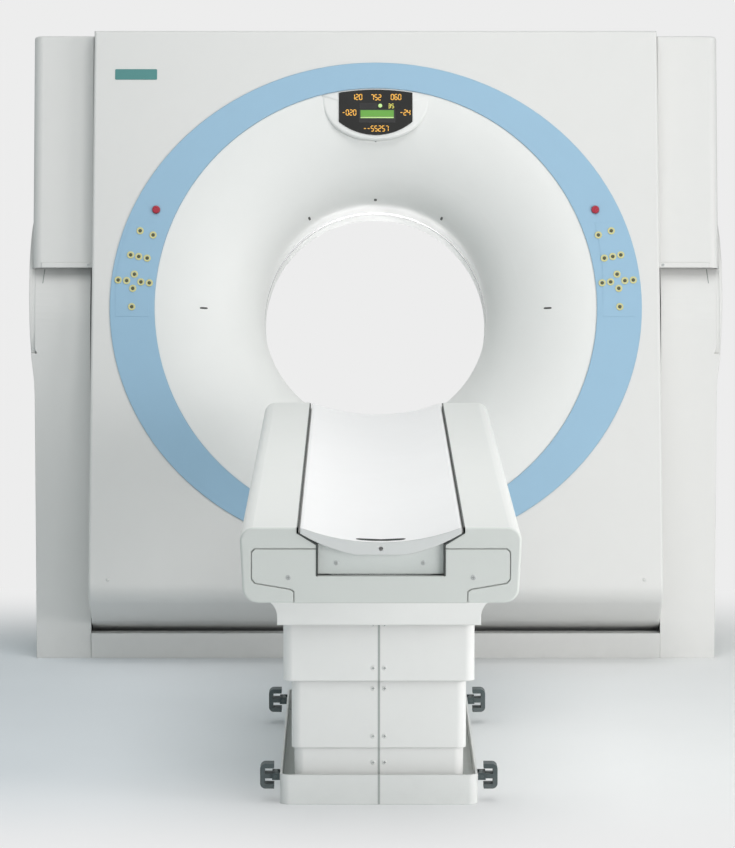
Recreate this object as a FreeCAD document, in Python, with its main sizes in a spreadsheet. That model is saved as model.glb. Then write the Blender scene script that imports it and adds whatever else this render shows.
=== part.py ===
"""A computed tomography scanner: a tilting gantry on a floor base, and a lifting patient table.

Millimetres, +Z up, +Y from the table towards the gantry, origin on the floor under the isocentre.
Everything that tilts is drawn upright about the isocentre, and is placed tilted as the object stands.
"""

import FreeCAD, Part
import Sketcher
import math
import os
from FreeCAD import Placement, Rotation, Vector

doc = FreeCAD.newDocument("CtScanner")
sheet = doc.addObject("Spreadsheet::Sheet", "Sizes")

# ---------------------------------------------------------------- driving dimensions
DRIVING = [
    # gantry
    ("IsoHeight", 1010, "height of the bore axis, which is also the tilt axis"),
    ("GantryTilt", 12, "degrees that the top leans away from the table"),
    ("BoreRadius", 350, "patient bore"),
    ("FaceDepth", 410, "isocentre to the front face"),
    ("RearDepth", 400, "isocentre to the rear face"),
    ("CoverDepth", 190, "depth of the front and rear covers"),
    ("CoverHalfTop", 872, "half width of the covers at the top"),
    ("CoverHalfLow", 882, "half width of the covers at the bottom"),
    ("CoverTop", 863, "top of the covers above the isocentre"),
    ("CoverEdge", 8, "rounding of the cover edges"),
    ("FloorGap", 13, "gap between the curved belly and the floor plate"),
    ("CoverWall", 4, "wall of every moulded cover"),
    ("BellyEdge", 60, "rounding where the face runs into the belly"),
    ("MouthRadius", 682, "mouth of the funnel and inner edge of the blue ring"),
    ("ThroatDepth", 260, "length of the funnel from the mouth to the throat"),
    ("RingHalf", 820, "half width of the elliptical blue ring"),
    ("RingHigh", 762, "half height of the elliptical blue ring"),
    ("RingThick", 3, "how far the ring stands out of the face"),
    ("WindowHalf", 25, "half width of the scan window"),
    ("SideHalf", 1063, "half width of the upper side covers"),
    ("SideFront", 350, "upper side covers in front of the tilt axis"),
    ("SideRear", 380, "upper side covers behind the tilt axis"),
    ("SideTop", 858, "top of the upper side covers"),
    ("SideFoot", 130, "lower lip of the upper side covers"),
    ("SideCorner", 28, "upright corners of the upper side covers"),
    ("LipHigh", 16, "height of the lip"),
    ("LipProud", 3, "how far the lip stands out"),
    ("SkinGap", 3, "gap between neighbouring covers"),
    # control panels and display
    ("KeyRadius", 11.5, "ring of one membrane key"),
    ("KeyHigh", 1.6, "height of a key ring over the film"),
    ("FilmThick", 0.8, "keypad film"),
    ("StopRadius", 12, "red stop button"),
    ("StopHigh", 8, "stop button over the ring"),
    ("PanelHalf", 116, "half width of the display panel"),
    ("PanelSide", 105, "mouth edge down to the lower end of the panel's straight sides"),
    ("PanelLow", 147, "mouth edge down to the lowest point of the panel"),
    ("PodHalf", 168, "half width of the pod behind the display"),
    ("PodTop", 40, "mouth edge down to where the pod's curve starts"),
    ("PodLow", 183, "mouth edge down to the lowest point of the pod"),
    # gantry inside
    ("FrameThick", 50, "tilting frame plate"),
    ("FrameFront", 120, "front face of the tilting frame behind the isocentre"),
    ("FrameHalf", 840, "half width of the tilting frame"),
    ("BearingOuter", 605, "outer radius of the main bearing"),
    ("BearingInner", 560, "inner radius of the bearing's outer ring"),
    ("RunGap", 0.5, "running gap of the big bearing and the belt"),
    ("DrumRadius", 790, "rotor rim, which the belt runs on"),
    ("DrumBore", 380, "hole through the rotor"),
    ("DrumThick", 40, "rotor disc"),
    ("DrumFront", 60, "front face of the rotor disc behind the isocentre"),
    ("FocusHeight", 570, "focal spot to the isocentre"),
    ("DetectorRadius", 1040, "focal spot to the detector"),
    ("DetectorThick", 70, "detector housing"),
    ("DetectorHalf", 456, "half width of the detector's inner face"),
    ("ShaftRadius", 45, "tilt pivot shaft"),
    ("ShaftFit", 0.05, "radial running clearance of shafts"),
    ("PivotBearing", 75, "outer radius of a pivot bearing"),
    ("MotorOut", 735, "rotor motor to the bore axis, sideways and down"),
    ("MotorRadius", 85, "rotor motor"),
    ("PulleyRadius", 45, "motor pulley"),
    ("BeltThick", 4, "drive belt"),
    # gantry base
    ("StandIn", 900, "inner face of the base towers"),
    ("StandOut", 1032, "outer face of the base towers"),
    ("StandTop", 300, "radius of the tower's round top"),
    ("StandCover", 335, "radius of the stand cover's round top"),
    ("StandCoverIn", 884, "inner edge of the stand covers"),
    ("StandCoverOut", 1076, "outer face of the stand covers at the slot"),
    ("SlotIn", 1057, "outer face of the cover inside the side cover's slot"),
    ("EarThick", 11, "outer ear that rises beside the side cover"),
    ("EarRadius", 285, "radius of that ear"),
    ("SlotFloor", 945, "bottom of the slot over the floor"),
    ("FootFront", 404, "front edge of the gantry foot"),
    ("FootRear", 500, "rear edge of the gantry foot"),
    ("PlateThick", 12, "floor plate"),
    ("BaseCoverHigh", 78, "height of the low front cover"),
    ("AnchorRadius", 9, "anchor bolt holes"),
    ("AnchorX", 980, "gantry anchor holes from the middle"),
    ("AnchorNear", 280, "near anchor holes from the tilt axis"),
    ("AnchorFar", 400, "far anchor holes from the tilt axis"),
    ("StandTaper", 19, "how much the stand covers narrow down to the floor, each side"),
    # table
    ("TableTop", 852, "top of the table body"),
    ("TableNear", 3623, "near end of the table from the isocentre"),
    ("TableFar", 897, "far end of the table from the isocentre"),
    ("TableHalf", 332, "half width of the table body"),
    ("TableHigh", 180, "height of the table body"),
    ("TableWall", 5, "wall of the table body"),
    ("ChannelHalf", 198, "half width of the cradle channel"),
    ("SlotHalf", 152.5, "half width of the deep part of the channel"),
    ("SlotTop", 38, "table top down to the deep part"),
    ("SlotDepth", 117, "depth of the channel"),
    ("CradleHalf", 190, "half width of the cradle"),
    ("CradleSag", 33, "dip of the cradle's lying surface"),
    ("CradleDeep", 65, "cradle edge to its keel"),
    ("KeelHalf", 60, "half width of the flat keel"),
    ("CradleLip", 6, "how far the cradle passes the table's near end"),
    ("RailHigh", 14, "cradle rails"),
    ("SlideGap", 0.3, "running gap of sliding pieces"),
    ("PanelDeep", 8, "thickness of the end panel"),
    ("SeamGap", 2, "seam round the end panel"),
    # table pedestal
    ("PedNear", 2688, "near face of the pedestal's foot cover"),
    ("PedFar", 1400, "far face of the pedestal's foot cover"),
    ("FootHalf", 256, "half width of the foot cover"),
    ("FootHigh", 78, "height of the foot cover"),
    ("ShroudHalf", 247, "half width of the upper shroud"),
    ("ShroudFoot", 322, "lower edge of the upper shroud"),
    ("MiddleHalf", 226, "half width of the middle shroud"),
    ("MiddleFoot", 143, "lower edge of the middle shroud"),
    ("MiddleTop", 404, "upper edge of the middle shroud"),
    ("CollarHalf", 219, "half width of the fixed collar"),
    ("CollarTop", 250, "upper edge of the fixed collar"),
    ("BellyHalf", 262, "half width of the belly skirt"),
    ("BellyFoot", 476, "lower edge of the belly"),
    ("FlareFoot", 503, "where the belly's side starts to flare out"),
    ("FlareTop", 542, "where the flare ends under the table"),
    ("FlareIn", 40, "table's side in to the flare"),
    ("BellyRoof", 590, "underside of the belly's roof"),
    ("ShroudWall", 3, "wall of the telescoping shrouds"),
    ("ShroudCorner", 24, "upright corners of the shrouds"),
    ("SplitGap", 1, "half of the seam between left and right shrouds"),
    ("ColumnHalf", 120, "half width of the lifting column"),
    ("ColumnLong", 640, "length of the lifting column along the table"),
    ("ColumnWall", 6, "wall of the column stages"),
    ("ColumnGap", 0.8, "gap between the column stages"),
    ("ColumnHigh", 270, "top of the fixed column stage"),
    ("PedalWide", 45, "foot pedal along the table"),
    ("PedalPivot", 68, "height of the pedal pivots"),
    ("PedalReach", 40, "pedal pivots out to the outside of the pedals"),
    ("PedalNear", 2632, "near pedals from the isocentre"),
    ("PedalFar", 1516, "far pedals from the isocentre"),
    ("DuctHalf", 90, "half width of the floor duct"),
    ("DuctHigh", 32, "height of the floor duct"),
]

for row, (alias, value, meaning) in enumerate(DRIVING, start=1):
    sheet.set(f"A{row}", meaning)
    sheet.set(f"B{row}", str(value))
    sheet.setAlias(f"B{row}", alias)
doc.recompute()


class Size:
    """A size with the sheet expression it comes from, so that arithmetic on it stays bound to the sheet."""

    def __init__(self, value, text):
        self.value = float(value)
        self.text = text

    def __add__(self, other):
        other = as_size(other)
        return Size(self.value + other.value, f"({self.text} + {other.text})")

    def __sub__(self, other):
        other = as_size(other)
        return Size(self.value - other.value, f"({self.text} - {other.text})")

    def __mul__(self, other):
        other = as_size(other)
        return Size(self.value * other.value, f"({self.text} * {other.text})")

    def __truediv__(self, other):
        other = as_size(other)
        return Size(self.value / other.value, f"({self.text} / {other.text})")

    def __neg__(self):
        return Size(-self.value, f"(-1 * {self.text})")

    def __radd__(self, other):
        return as_size(other) + self

    def __rsub__(self, other):
        return as_size(other) - self

    def __rmul__(self, other):
        return as_size(other) * self


def as_size(number):
    """A plain number as a Size."""
    return number if isinstance(number, Size) else Size(number, repr(float(number)))


def root(size):
    """Square root of a Size."""
    return Size(math.sqrt(size.value), f"sqrt({size.text})")


S = {alias: Size(value, f"Sizes.{alias}") for alias, value, _ in DRIVING}

# The belly is as large as the room between the tilt axis and the floor plate allows.
S["SweepRadius"] = S["IsoHeight"] - S["PlateThick"] - S["FloorGap"]


def bind(thing, prop, size):
    """Ties one property to the sheet."""
    thing.setExpression(prop, as_size(size).text)


# ---------------------------------------------------------------- drawing helpers
NODES = []


def named(thing, name, tilted=False):
    """Registers a finished piece; a tilted one turns about the tilt axis with the gantry."""
    thing.Label = name
    if tilted:
        turn = Rotation(Vector(1, 0, 0), -S["GantryTilt"].value)
        thing.Placement = Placement(Vector(0, 0, S["IsoHeight"].value), turn)
        bind(thing, "Placement.Base.z", S["IsoHeight"])
        bind(thing, "Placement.Rotation.Angle", -S["GantryTilt"])
    NODES.append(thing)
    return thing


def vector(u, v):
    return Vector(as_size(u).value, as_size(v).value, 0)


def arc_between(start, end, radius, turn):
    """The shorter arc from start to end; turn is +1 anticlockwise and -1 clockwise."""
    chord = end - start
    half = chord.Length / 2
    rise = math.sqrt(max(radius * radius - half * half, 0.0))
    left = Vector(-chord.y, chord.x, 0).normalize()
    centre = (start + end) * 0.5 + left * (rise * turn)
    first, last = (start, end) if turn > 0 else (end, start)
    angle0 = math.atan2(first.y - centre.y, first.x - centre.x)
    angle1 = math.atan2(last.y - centre.y, last.x - centre.x)
    if angle1 < angle0:
        angle1 += 2 * math.pi
    circle = Part.Circle(centre, Vector(0, 0, 1), radius)
    return Part.ArcOfCircle(circle, angle0, angle1)


def circle_in(sketch, u, v, radius):
    """A full circle whose centre and radius are bound to the sheet."""
    index = sketch.addGeometry(Part.Circle(vector(u, v), Vector(0, 0, 1), as_size(radius).value), False)
    rules = [("DistanceX", u), ("DistanceY", v)]
    for kind, size in rules:
        rule = sketch.addConstraint(Sketcher.Constraint(kind, -1, 1, index, 3, as_size(size).value))
        bind(sketch, f"Constraints[{rule}]", size)
    rule = sketch.addConstraint(Sketcher.Constraint("Radius", index, as_size(radius).value))
    bind(sketch, f"Constraints[{rule}]", radius)


def outline_in(sketch, points):
    """A closed outline. A point is (u, v), or (u, v, radius, turn) where an arc leads to it."""
    ends = []
    count = len(points)
    for index in range(count):
        here = points[index]
        there = points[(index + 1) % count]
        start = vector(here[0], here[1])
        end = vector(there[0], there[1])
        if len(there) == 4:
            radius, turn = as_size(there[2]), there[3]
            edge = sketch.addGeometry(arc_between(start, end, radius.value, turn), False)
            rule = sketch.addConstraint(Sketcher.Constraint("Radius", edge, radius.value))
            bind(sketch, f"Constraints[{rule}]", radius)
            ends.append((edge, 1, 2) if turn > 0 else (edge, 2, 1))
        else:
            edge = sketch.addGeometry(Part.LineSegment(start, end), False)
            ends.append((edge, 1, 2))
    for index in range(count):
        edge, _, last = ends[index]
        after, first, _ = ends[(index + 1) % count]
        sketch.addConstraint(Sketcher.Constraint("Coincident", edge, last, after, first))
    for index in range(count):
        edge, first, _ = ends[index]
        for kind, size in (("DistanceX", points[index][0]), ("DistanceY", points[index][1])):
            rule = sketch.addConstraint(Sketcher.Constraint(kind, -1, 1, edge, first, as_size(size).value))
            bind(sketch, f"Constraints[{rule}]", size)


def sketch_on(body, role, offset, outlines):
    """A sketch on one of the body's own origin planes, moved along the plane's normal."""
    plane = [item for item in body.Origin.OriginFeatures if item.Role == role][0]
    sketch = body.newObject("Sketcher::SketchObject", body.Name + "Sketch")
    sketch.AttachmentSupport = [(plane, "")]
    sketch.MapMode = "FlatFace"
    bind(sketch, "AttachmentOffset.Base.z", offset)
    for outline in outlines:
        if outline[0] == "circle":
            circle_in(sketch, *outline[1:])
        else:
            outline_in(sketch, outline)
    return sketch


def prism(name, role, start, length, outlines):
    """A body with one pad. start is the lower coordinate along the plane's axis."""
    body = doc.addObject("PartDesign::Body", name)
    offset = -(as_size(start) + length) if role == "XZ_Plane" else as_size(start)
    pad = body.newObject("PartDesign::Pad", name + "Pad")
    sketch = sketch_on(body, role, offset, outlines)
    pad.Profile = sketch
    bind(pad, "Length", length)
    body.Tip = pad
    return body


def turned(name, outline):
    """A body turned about the Y axis. The outline is (radius, y)."""
    body = doc.addObject("PartDesign::Body", name)
    sketch = sketch_on(body, "XY_Plane", 0, [outline])
    turn = body.newObject("PartDesign::Revolution", name + "Turn")
    turn.Profile = sketch
    turn.ReferenceAxis = (sketch, ["V_Axis"])
    turn.Angle = 360
    body.Tip = turn
    return body


def box(name, x, y, z):
    """A block between two corners; x, y and z are each (low, high)."""
    block = doc.addObject("Part::Box", name)
    for prop, axis, (low, high) in (("Length", "x", x), ("Width", "y", y), ("Height", "z", z)):
        bind(block, prop, as_size(high) - low)
        bind(block, f"Placement.Base.{axis}", low)
    return block


def rod(name, axis, centre, radius, low, high):
    """A cylinder along axis x, y or z. centre gives the other two coordinates in x, y, z order."""
    turns = {
        "x": Rotation(Vector(0, 1, 0), 90),
        "y": Rotation(Vector(1, 0, 0), -90),
        "z": Rotation(),
    }
    cylinder = doc.addObject("Part::Cylinder", name)
    cylinder.Placement = Placement(Vector(0, 0, 0), turns[axis])
    bind(cylinder, "Radius", radius)
    bind(cylinder, "Height", as_size(high) - low)
    others = [letter for letter in "xyz" if letter != axis]
    bind(cylinder, f"Placement.Base.{axis}", low)
    for letter, size in zip(others, centre):
        bind(cylinder, f"Placement.Base.{letter}", size)
    return cylinder


def fuse(name, *pieces):
    joined = doc.addObject("Part::MultiFuse", name)
    joined.Shapes = list(pieces)
    joined.Refine = True
    return joined


def cut(name, piece, *tools):
    result = doc.addObject("Part::Cut", name)
    result.Base = piece
    result.Tool = tools[0] if len(tools) == 1 else fuse(name + "Tools", *tools)
    result.Refine = True
    return result


def common(name, piece, other):
    result = doc.addObject("Part::Common", name)
    result.Base = piece
    result.Tool = other
    return result


def mirrored(name, source):
    """The same piece on the other side of the YZ plane."""
    twin = doc.addObject("Part::Mirroring", name)
    twin.Source = source
    twin.Base = Vector(0, 0, 0)
    twin.Normal = Vector(1, 0, 0)
    return twin


def rounded(name, base, radius, chosen):
    """Rounds the edges for which chosen(edge) is true."""
    doc.recompute()
    fillet = doc.addObject("Part::Fillet", name)
    fillet.Base = base
    picks = [i for i, edge in enumerate(base.Shape.Edges, start=1) if chosen(edge)]
    fillet.Edges = [(index, radius.value, radius.value) for index in picks]
    return fillet


def pair(name, source, tilted=False):
    """A right piece and its mirrored left twin, as two named nodes."""
    right = named(source, name + "_right", tilted)
    left = named(mirrored(source.Name + "Twin", source), name + "_left")
    return right, left


# ---------------------------------------------------------------- shared gantry shapes
FACE = -S["FaceDepth"]
REAR = S["RearDepth"]
BEYOND = 1200  # longer than any piece that it cuts


def cover_blank(name, low, high, inset):
    """The rounded block that a gantry cover is, smaller all round by inset."""
    drop = S["SweepRadius"] + 10
    slope = (S["CoverHalfLow"] - S["CoverHalfTop"]) / (S["CoverTop"] + drop)
    top = S["CoverTop"] - inset
    half_top = S["CoverHalfTop"] - inset
    half_low = S["CoverHalfLow"] - inset + slope
    points = [(-half_low, -drop), (half_low, -drop), (half_top, top), (-half_top, top)]
    block = prism(name + "Block", "XZ_Plane", low, as_size(high) - low, [points])
    drum = rod(name + "Sweep", "x", (0, 0), S["SweepRadius"] - inset, -BEYOND, BEYOND)
    return common(name + "Blank", block, drum)


def gantry_cover(name, low, high, face, opening, wells=()):
    """A moulded cover: a face with a round opening and a return flange; face is its outer y."""
    wall = S["CoverWall"]
    at_front = face.value < 0
    inner_low = low + wall if at_front else low - BEYOND
    inner_high = high + BEYOND if at_front else high - wall

    def face_edge(y):
        return lambda edge: abs(edge.BoundBox.YMin - y) < 0.1 and abs(edge.BoundBox.YMax - y) < 0.1

    def belly_edge(y):
        along_x = face_edge(y)
        return lambda edge: along_x(edge) and edge.BoundBox.ZMax < -500 and edge.BoundBox.XLength > 1000

    def rim_edge(y):
        on_face = face_edge(y)
        return lambda edge: on_face(edge) and edge.BoundBox.ZMax > -500

    blank = cover_blank(name + "Out", low, high, 0)
    bellied = rounded(name + "Bellied", blank, S["BellyEdge"], belly_edge(face.value))
    outer = rounded(name + "Outer", bellied, S["CoverEdge"], rim_edge(face.value))
    inner_face = (face + wall if at_front else face - wall).value
    hollow = rounded(
        name + "Hollow",
        cover_blank(name + "In", inner_low, inner_high, wall),
        S["BellyEdge"] - wall,
        belly_edge(inner_face),
    )
    hole = rod(name + "Hole", "y", (0, 0), opening, low - BEYOND, high + BEYOND)
    return cut(name, outer, hollow, hole, *wells)


# ---------------------------------------------------------------- tilting covers
STOP_X = 678
STOP_Z = 302
stop_wells = [
    rod(f"StopWell{side}", "y", (side * STOP_X, STOP_Z), S["StopRadius"] + 0.4, FACE - 50, FACE + 50)
    for side in (1, -1)
]
opening = S["MouthRadius"] + 1
front_cover = named(
    gantry_cover("FrontCover", FACE, FACE + S["CoverDepth"], FACE, opening, stop_wells), "front_cover", True
)
rear_cover = named(
    gantry_cover("RearCover", REAR - S["CoverDepth"], REAR, REAR, opening), "rear_cover", True
)

# Between them a bent band closes the belly and the lower sides, and a flat plate closes the top.
BAND_LOW = FACE + S["CoverDepth"] + S["SkinGap"] / 10
BAND_HIGH = REAR - S["CoverDepth"] - S["SkinGap"] / 10
band_outer = cover_blank("BandOut", BAND_LOW, BAND_HIGH, 0)
band_inner = cover_blank("BandIn", BAND_LOW - 10, BAND_HIGH + 10, S["CoverWall"])
band_upper = box("BandUpper", (-BEYOND, BEYOND), (-BEYOND, BEYOND), (S["SideFoot"], BEYOND))
band_hole = rod("BandHole", "x", (0, 0), S["ShaftRadius"] + 15, -BEYOND, BEYOND)
named(cut("BellyBand", band_outer, band_inner, band_upper, band_hole), "belly_band", True)

TOP_HALF = S["CoverHalfTop"]
top_low = S["CoverTop"] - S["CoverWall"]
top_plan = [(-TOP_HALF, BAND_LOW), (TOP_HALF, BAND_LOW), (TOP_HALF, BAND_HIGH), (-TOP_HALF, BAND_HIGH)]
named(prism("TopCover", "XY_Plane", top_low, S["CoverWall"], [top_plan]), "top_cover", True)


cover_slope = (S["CoverHalfLow"] - S["CoverHalfTop"]) / (S["CoverTop"] + S["SweepRadius"] + 10)
side_in = S["CoverHalfTop"] + (S["CoverTop"] - S["SideFoot"]) * cover_slope + 1


def side_outline(inset):
    """Plan of an upper side cover, open towards the middle."""
    inner = side_in if inset == 0 else S["CoverHalfLow"] - 40
    outer = S["SideHalf"] - inset
    front = -S["SideFront"] + inset
    rear = S["SideRear"] - inset
    bend = S["SideCorner"] - inset
    return [
        (inner, front),
        (outer - bend, front),
        (outer, front + bend, bend, 1),
        (outer, rear - bend),
        (outer - bend, rear, bend, 1),
        (inner, rear),
    ]


side_height = S["SideTop"] - S["SideFoot"]
side_block = prism("SideBlock", "XY_Plane", S["SideFoot"], side_height, [side_outline(0)])
side_outer = rounded(
    "SideOuter",
    side_block,
    S["CoverEdge"],
    lambda edge: edge.BoundBox.ZMin > (S["SideTop"] - 1).value and edge.BoundBox.XMax > 900,
)
side_hollow_high = side_height + 10 - S["CoverWall"]
side_hollow = prism(
    "SideHollow", "XY_Plane", S["SideFoot"] - 10, side_hollow_high, [side_outline(S["CoverWall"])]
)
side_lip = box(
    "SideLip",
    (side_in, S["SideHalf"] - S["SideCorner"]),
    (-S["SideFront"] - S["LipProud"], -S["SideFront"] + S["CoverWall"]),
    (S["SideFoot"], S["SideFoot"] + S["LipHigh"]),
)
pair("upper_side_cover", fuse("SideCover", cut("SideShell", side_outer, side_hollow), side_lip), True)


# ---------------------------------------------------------------- funnels, scan window and blue ring
def funnel_curve(mouth_y, throat_y, thick_throat, thick_mouth):
    """Throat, knee and mouth points of a quarter ellipse with the radii of the two arcs that draw it."""
    out = 1 if mouth_y.value < 0 else -1
    mouth = S["MouthRadius"]
    rise = mouth - S["BoreRadius"] - thick_throat
    depth = (throat_y - mouth_y) * out - thick_mouth
    share = math.sqrt(0.5)
    across_throat = rise * (1 - share)
    along_throat = depth * share
    across_mouth = depth * (1 - share)
    along_mouth = rise * share
    throat = (mouth - rise, throat_y)
    knee = (mouth - rise * share, throat_y - depth * share * out)
    lip = (mouth, throat_y - depth * out)
    throat_arc = (across_throat * across_throat + along_throat * along_throat) / (across_throat * 2)
    mouth_arc = (across_mouth * across_mouth + along_mouth * along_mouth) / (across_mouth * 2)
    return throat, knee, lip, throat_arc, mouth_arc


def funnel(name, mouth_y, throat_y, end_y):
    """A turned funnel: a flange behind the cover, a quarter ellipse and a straight sleeve to the window."""
    out = 1 if mouth_y.value < 0 else -1
    wall = S["CoverWall"]
    seat = (wall + S["SlideGap"]) * out
    back = (wall + S["SlideGap"] + 3) * out
    throat, knee, lip, throat_arc, mouth_arc = funnel_curve(mouth_y, throat_y, as_size(0), as_size(0))
    rear = funnel_curve(mouth_y, throat_y, wall, back * out)
    reach = S["MouthRadius"] + 36
    outline = [
        (S["BoreRadius"], end_y),
        throat,
        (knee[0], knee[1], throat_arc, out),
        (lip[0], lip[1], mouth_arc, out),
        (lip[0], mouth_y + seat),
        (reach, mouth_y + seat),
        (reach, mouth_y + back),
        rear[2],
        (rear[1][0], rear[1][1], rear[4], -out),
        (rear[0][0], rear[0][1], rear[3], -out),
        (S["BoreRadius"] + wall, end_y),
    ]
    return turned(name, outline)


front_funnel = named(
    funnel("FrontFunnel", FACE, FACE + S["ThroatDepth"], -S["WindowHalf"]), "front_funnel", True
)
named(funnel("RearFunnel", REAR, REAR - S["ThroatDepth"], S["WindowHalf"]), "rear_funnel", True)

window = S["WindowHalf"]
bore = S["BoreRadius"]
scan_window = [(bore + 0.5, -window), (bore + 3, -window), (bore + 3, window), (bore + 0.5, window)]
named(turned("ScanWindow", scan_window), "scan_window", True)

ring_edge = doc.addObject("Part::Ellipse", "RingEdge")
bind(ring_edge, "MajorRadius", S["RingHalf"])
bind(ring_edge, "MinorRadius", S["RingHigh"])
ring_disc = doc.addObject("Part::Extrusion", "RingDisc")
ring_disc.Base = ring_edge
ring_disc.DirMode = "Custom"
ring_disc.Dir = Vector(0, 0, 1)
ring_disc.Solid = True
bind(ring_disc, "LengthFwd", S["RingThick"])
ring_disc.Placement = Placement(Vector(0, 0, 0), Rotation(Vector(1, 0, 0), 90))
bind(ring_disc, "Placement.Base.y", FACE)
ring_hole = rod("RingHole", "y", (0, 0), S["MouthRadius"], FACE - 50, FACE + 50)

named(cut("ControlRing", ring_disc, ring_hole, *stop_wells), "control_ring", True)

# ---------------------------------------------------------------- keypads and stop buttons
KEYS = [
    (727, 236),
    (687, 223),
    (756, 161),
    (731, 156),
    (705, 151),
    (744, 101),
    (794, 83),
    (768, 81),
    (724, 77),
    (698, 74),
    (749, 57),
    (752, 0),
]
ring_face = FACE - S["RingThick"]
film_outline = [
    (700, -30),
    (802, -30),
    (800, 100, 1200, 1),
    (758, 262, 900, 1),
    (676, 262),
    (700, 100, 900, -1),
]
film_front = ring_face - S["FilmThick"]
film = prism("KeyFilm", "XZ_Plane", film_front, S["FilmThick"], [film_outline])
domes = [
    rod(f"Key{i}", "y", (x, z), S["KeyRadius"], film_front - S["KeyHigh"], film_front + 0.1)
    for i, (x, z) in enumerate(KEYS)
]
pair("keypad", fuse("Keypad", film, *domes), True)

stop_cap = rod("StopCap", "y", (STOP_X, STOP_Z), S["StopRadius"], ring_face - S["StopHigh"], FACE + 1)
stop_edge = rounded(
    "StopButton",
    stop_cap,
    Size(3, "3.0"),
    lambda edge: abs(edge.BoundBox.YMax - (ring_face - S["StopHigh"]).value) < 0.1,
)
pair("stop_button", stop_edge, True)

# ---------------------------------------------------------------- display pod
def in_funnel(name):
    """The air inside the front funnel, from its throat out past the face."""
    throat, knee, lip, throat_arc, mouth_arc = funnel_curve(
        FACE, FACE + S["ThroatDepth"], -S["SlideGap"], -S["SlideGap"]
    )
    outline = [
        (0, FACE - 60),
        (lip[0], FACE - 60),
        lip,
        (knee[0], knee[1], mouth_arc, -1),
        (throat[0], throat[1], throat_arc, -1),
        (0, FACE + S["ThroatDepth"]),
    ]
    return turned(name, outline)


pod_round = S["MouthRadius"] - S["SlideGap"]
panel_high = root(pod_round * pod_round - S["PanelHalf"] * S["PanelHalf"])
pod_low = S["MouthRadius"] - S["PodLow"]
pod_shoulder = S["MouthRadius"] - S["PodTop"]
pod_outline = [
    (0, pod_low, 190, 1),
    (S["PodHalf"], pod_shoulder, 190, 1),
    (S["PanelHalf"], panel_high, 300, 1),
    (-S["PanelHalf"], panel_high, pod_round, 1),
    (-S["PodHalf"], pod_shoulder, 300, 1),
]
POD_FACE = FACE - 1
pod_block = prism("PodBlock", "XZ_Plane", POD_FACE, 120, [pod_outline])
named(common("DisplayPod", pod_block, in_funnel("PodAir")), "display_housing", True)

panel_inner = S["PanelHalf"] - 2
panel_top = panel_high - 4
panel_side = S["MouthRadius"] - S["PanelSide"]
panel_outline = [
    (-panel_inner, panel_side),
    (0, S["MouthRadius"] - S["PanelLow"], 180, 1),
    (panel_inner, panel_side, 180, 1),
    (panel_inner, panel_top),
    (-panel_inner, panel_top, pod_round, 1),
]
named(prism("DisplayScreen", "XZ_Plane", POD_FACE - 3, 3, [panel_outline]), "display_screen", True)


# ---------------------------------------------------------------- tilting frame
def cover_half(z, inset):
    """Half width of the gantry covers at the height z, less inset."""
    return S["CoverHalfTop"] + (S["CoverTop"] - z) * cover_slope - inset


NEAR_COVER = S["CoverWall"] + S["SlideGap"]
frame_low = S["FrameFront"]
frame_high = S["FrameFront"] + S["FrameThick"]
side = S["FrameHalf"]
frame_plate_outline = [
    (side - 150, -750),
    (side, -600, 150, 1),
    (side, 650),
    (side - 100, 750, 100, 1),
    (-side + 100, 750),
    (-side, 650, 100, 1),
    (-side, -600),
    (-side + 150, -750, 150, 1),
]
hub_hole = S["BearingOuter"] + S["SlideGap"]
frame_plate = prism("FramePlate", "XZ_Plane", frame_low, S["FrameThick"], [frame_plate_outline])
frame_hole = rod("FrameHole", "y", (0, 0), hub_hole, frame_low - 10, frame_high + 10)
MOTOR_X = S["MotorOut"]
MOTOR_Z = -S["MotorOut"]
motor_plate = rod("MotorPlate", "y", (MOTOR_X, MOTOR_Z), S["MotorRadius"] + 10, frame_low, frame_high)
motor_pass = rod("MotorPass", "y", (MOTOR_X, MOTOR_Z), 20, frame_low - 10, frame_high + 10)
frame_bits = [frame_plate, motor_plate]
for sign, tag in ((1, "R"), (-1, "L")):
    for level, mark in ((480, "U"), (-480, "D")):
        top = level + 40
        outer = cover_half(top, NEAR_COVER)
        span = (side - 40, outer) if sign > 0 else (-outer, -side + 40)
        post = box(f"Post{tag}{mark}", span, (FACE + 120, REAR - 110), (level - 40, top))
        frame_bits.append(post)
    boss_in = S["DrumRadius"] + 16
    boss_out = cover_half(110, NEAR_COVER)
    span = (boss_in, boss_out) if sign > 0 else (-boss_out, -boss_in)
    frame_bits.append(box(f"Boss{tag}", span, (-70, frame_high), (-110, 110)))
    arm_in = side - 20
    arm_out = S["SideHalf"] - NEAR_COVER
    span = (arm_in, arm_out) if sign > 0 else (-arm_out, -arm_in)
    frame_bits.append(box(f"Arm{tag}", span, (frame_low, frame_high), (400, 460)))
    span = (boss_in + 10, 1000) if sign > 0 else (-1000, -boss_in - 10)
    frame_bits.append(rod(f"Shaft{tag}", "x", (0, 0), S["ShaftRadius"], span[0], span[1]))
tilt_frame = named(
    cut("TiltFrame", fuse("FrameBits", *frame_bits), frame_hole, motor_pass), "tilt_frame", True
)

bearing_outline = [
    (S["BearingInner"], frame_low - 10),
    (S["BearingOuter"], frame_low - 10),
    (S["BearingOuter"], frame_high),
    (S["BearingInner"], frame_high),
]
named(turned("MainBearing", bearing_outline), "main_bearing", True)

motor_body = rod("MotorBody", "y", (MOTOR_X, MOTOR_Z), S["MotorRadius"], frame_high + 0.3, frame_high + 160)
motor_bore = rod("MotorBore", "y", (MOTOR_X, MOTOR_Z), 14 + S["ShaftFit"], frame_high - 10, frame_high + 60)
named(cut("DriveMotor", motor_body, motor_bore), "drive_motor", True)


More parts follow.
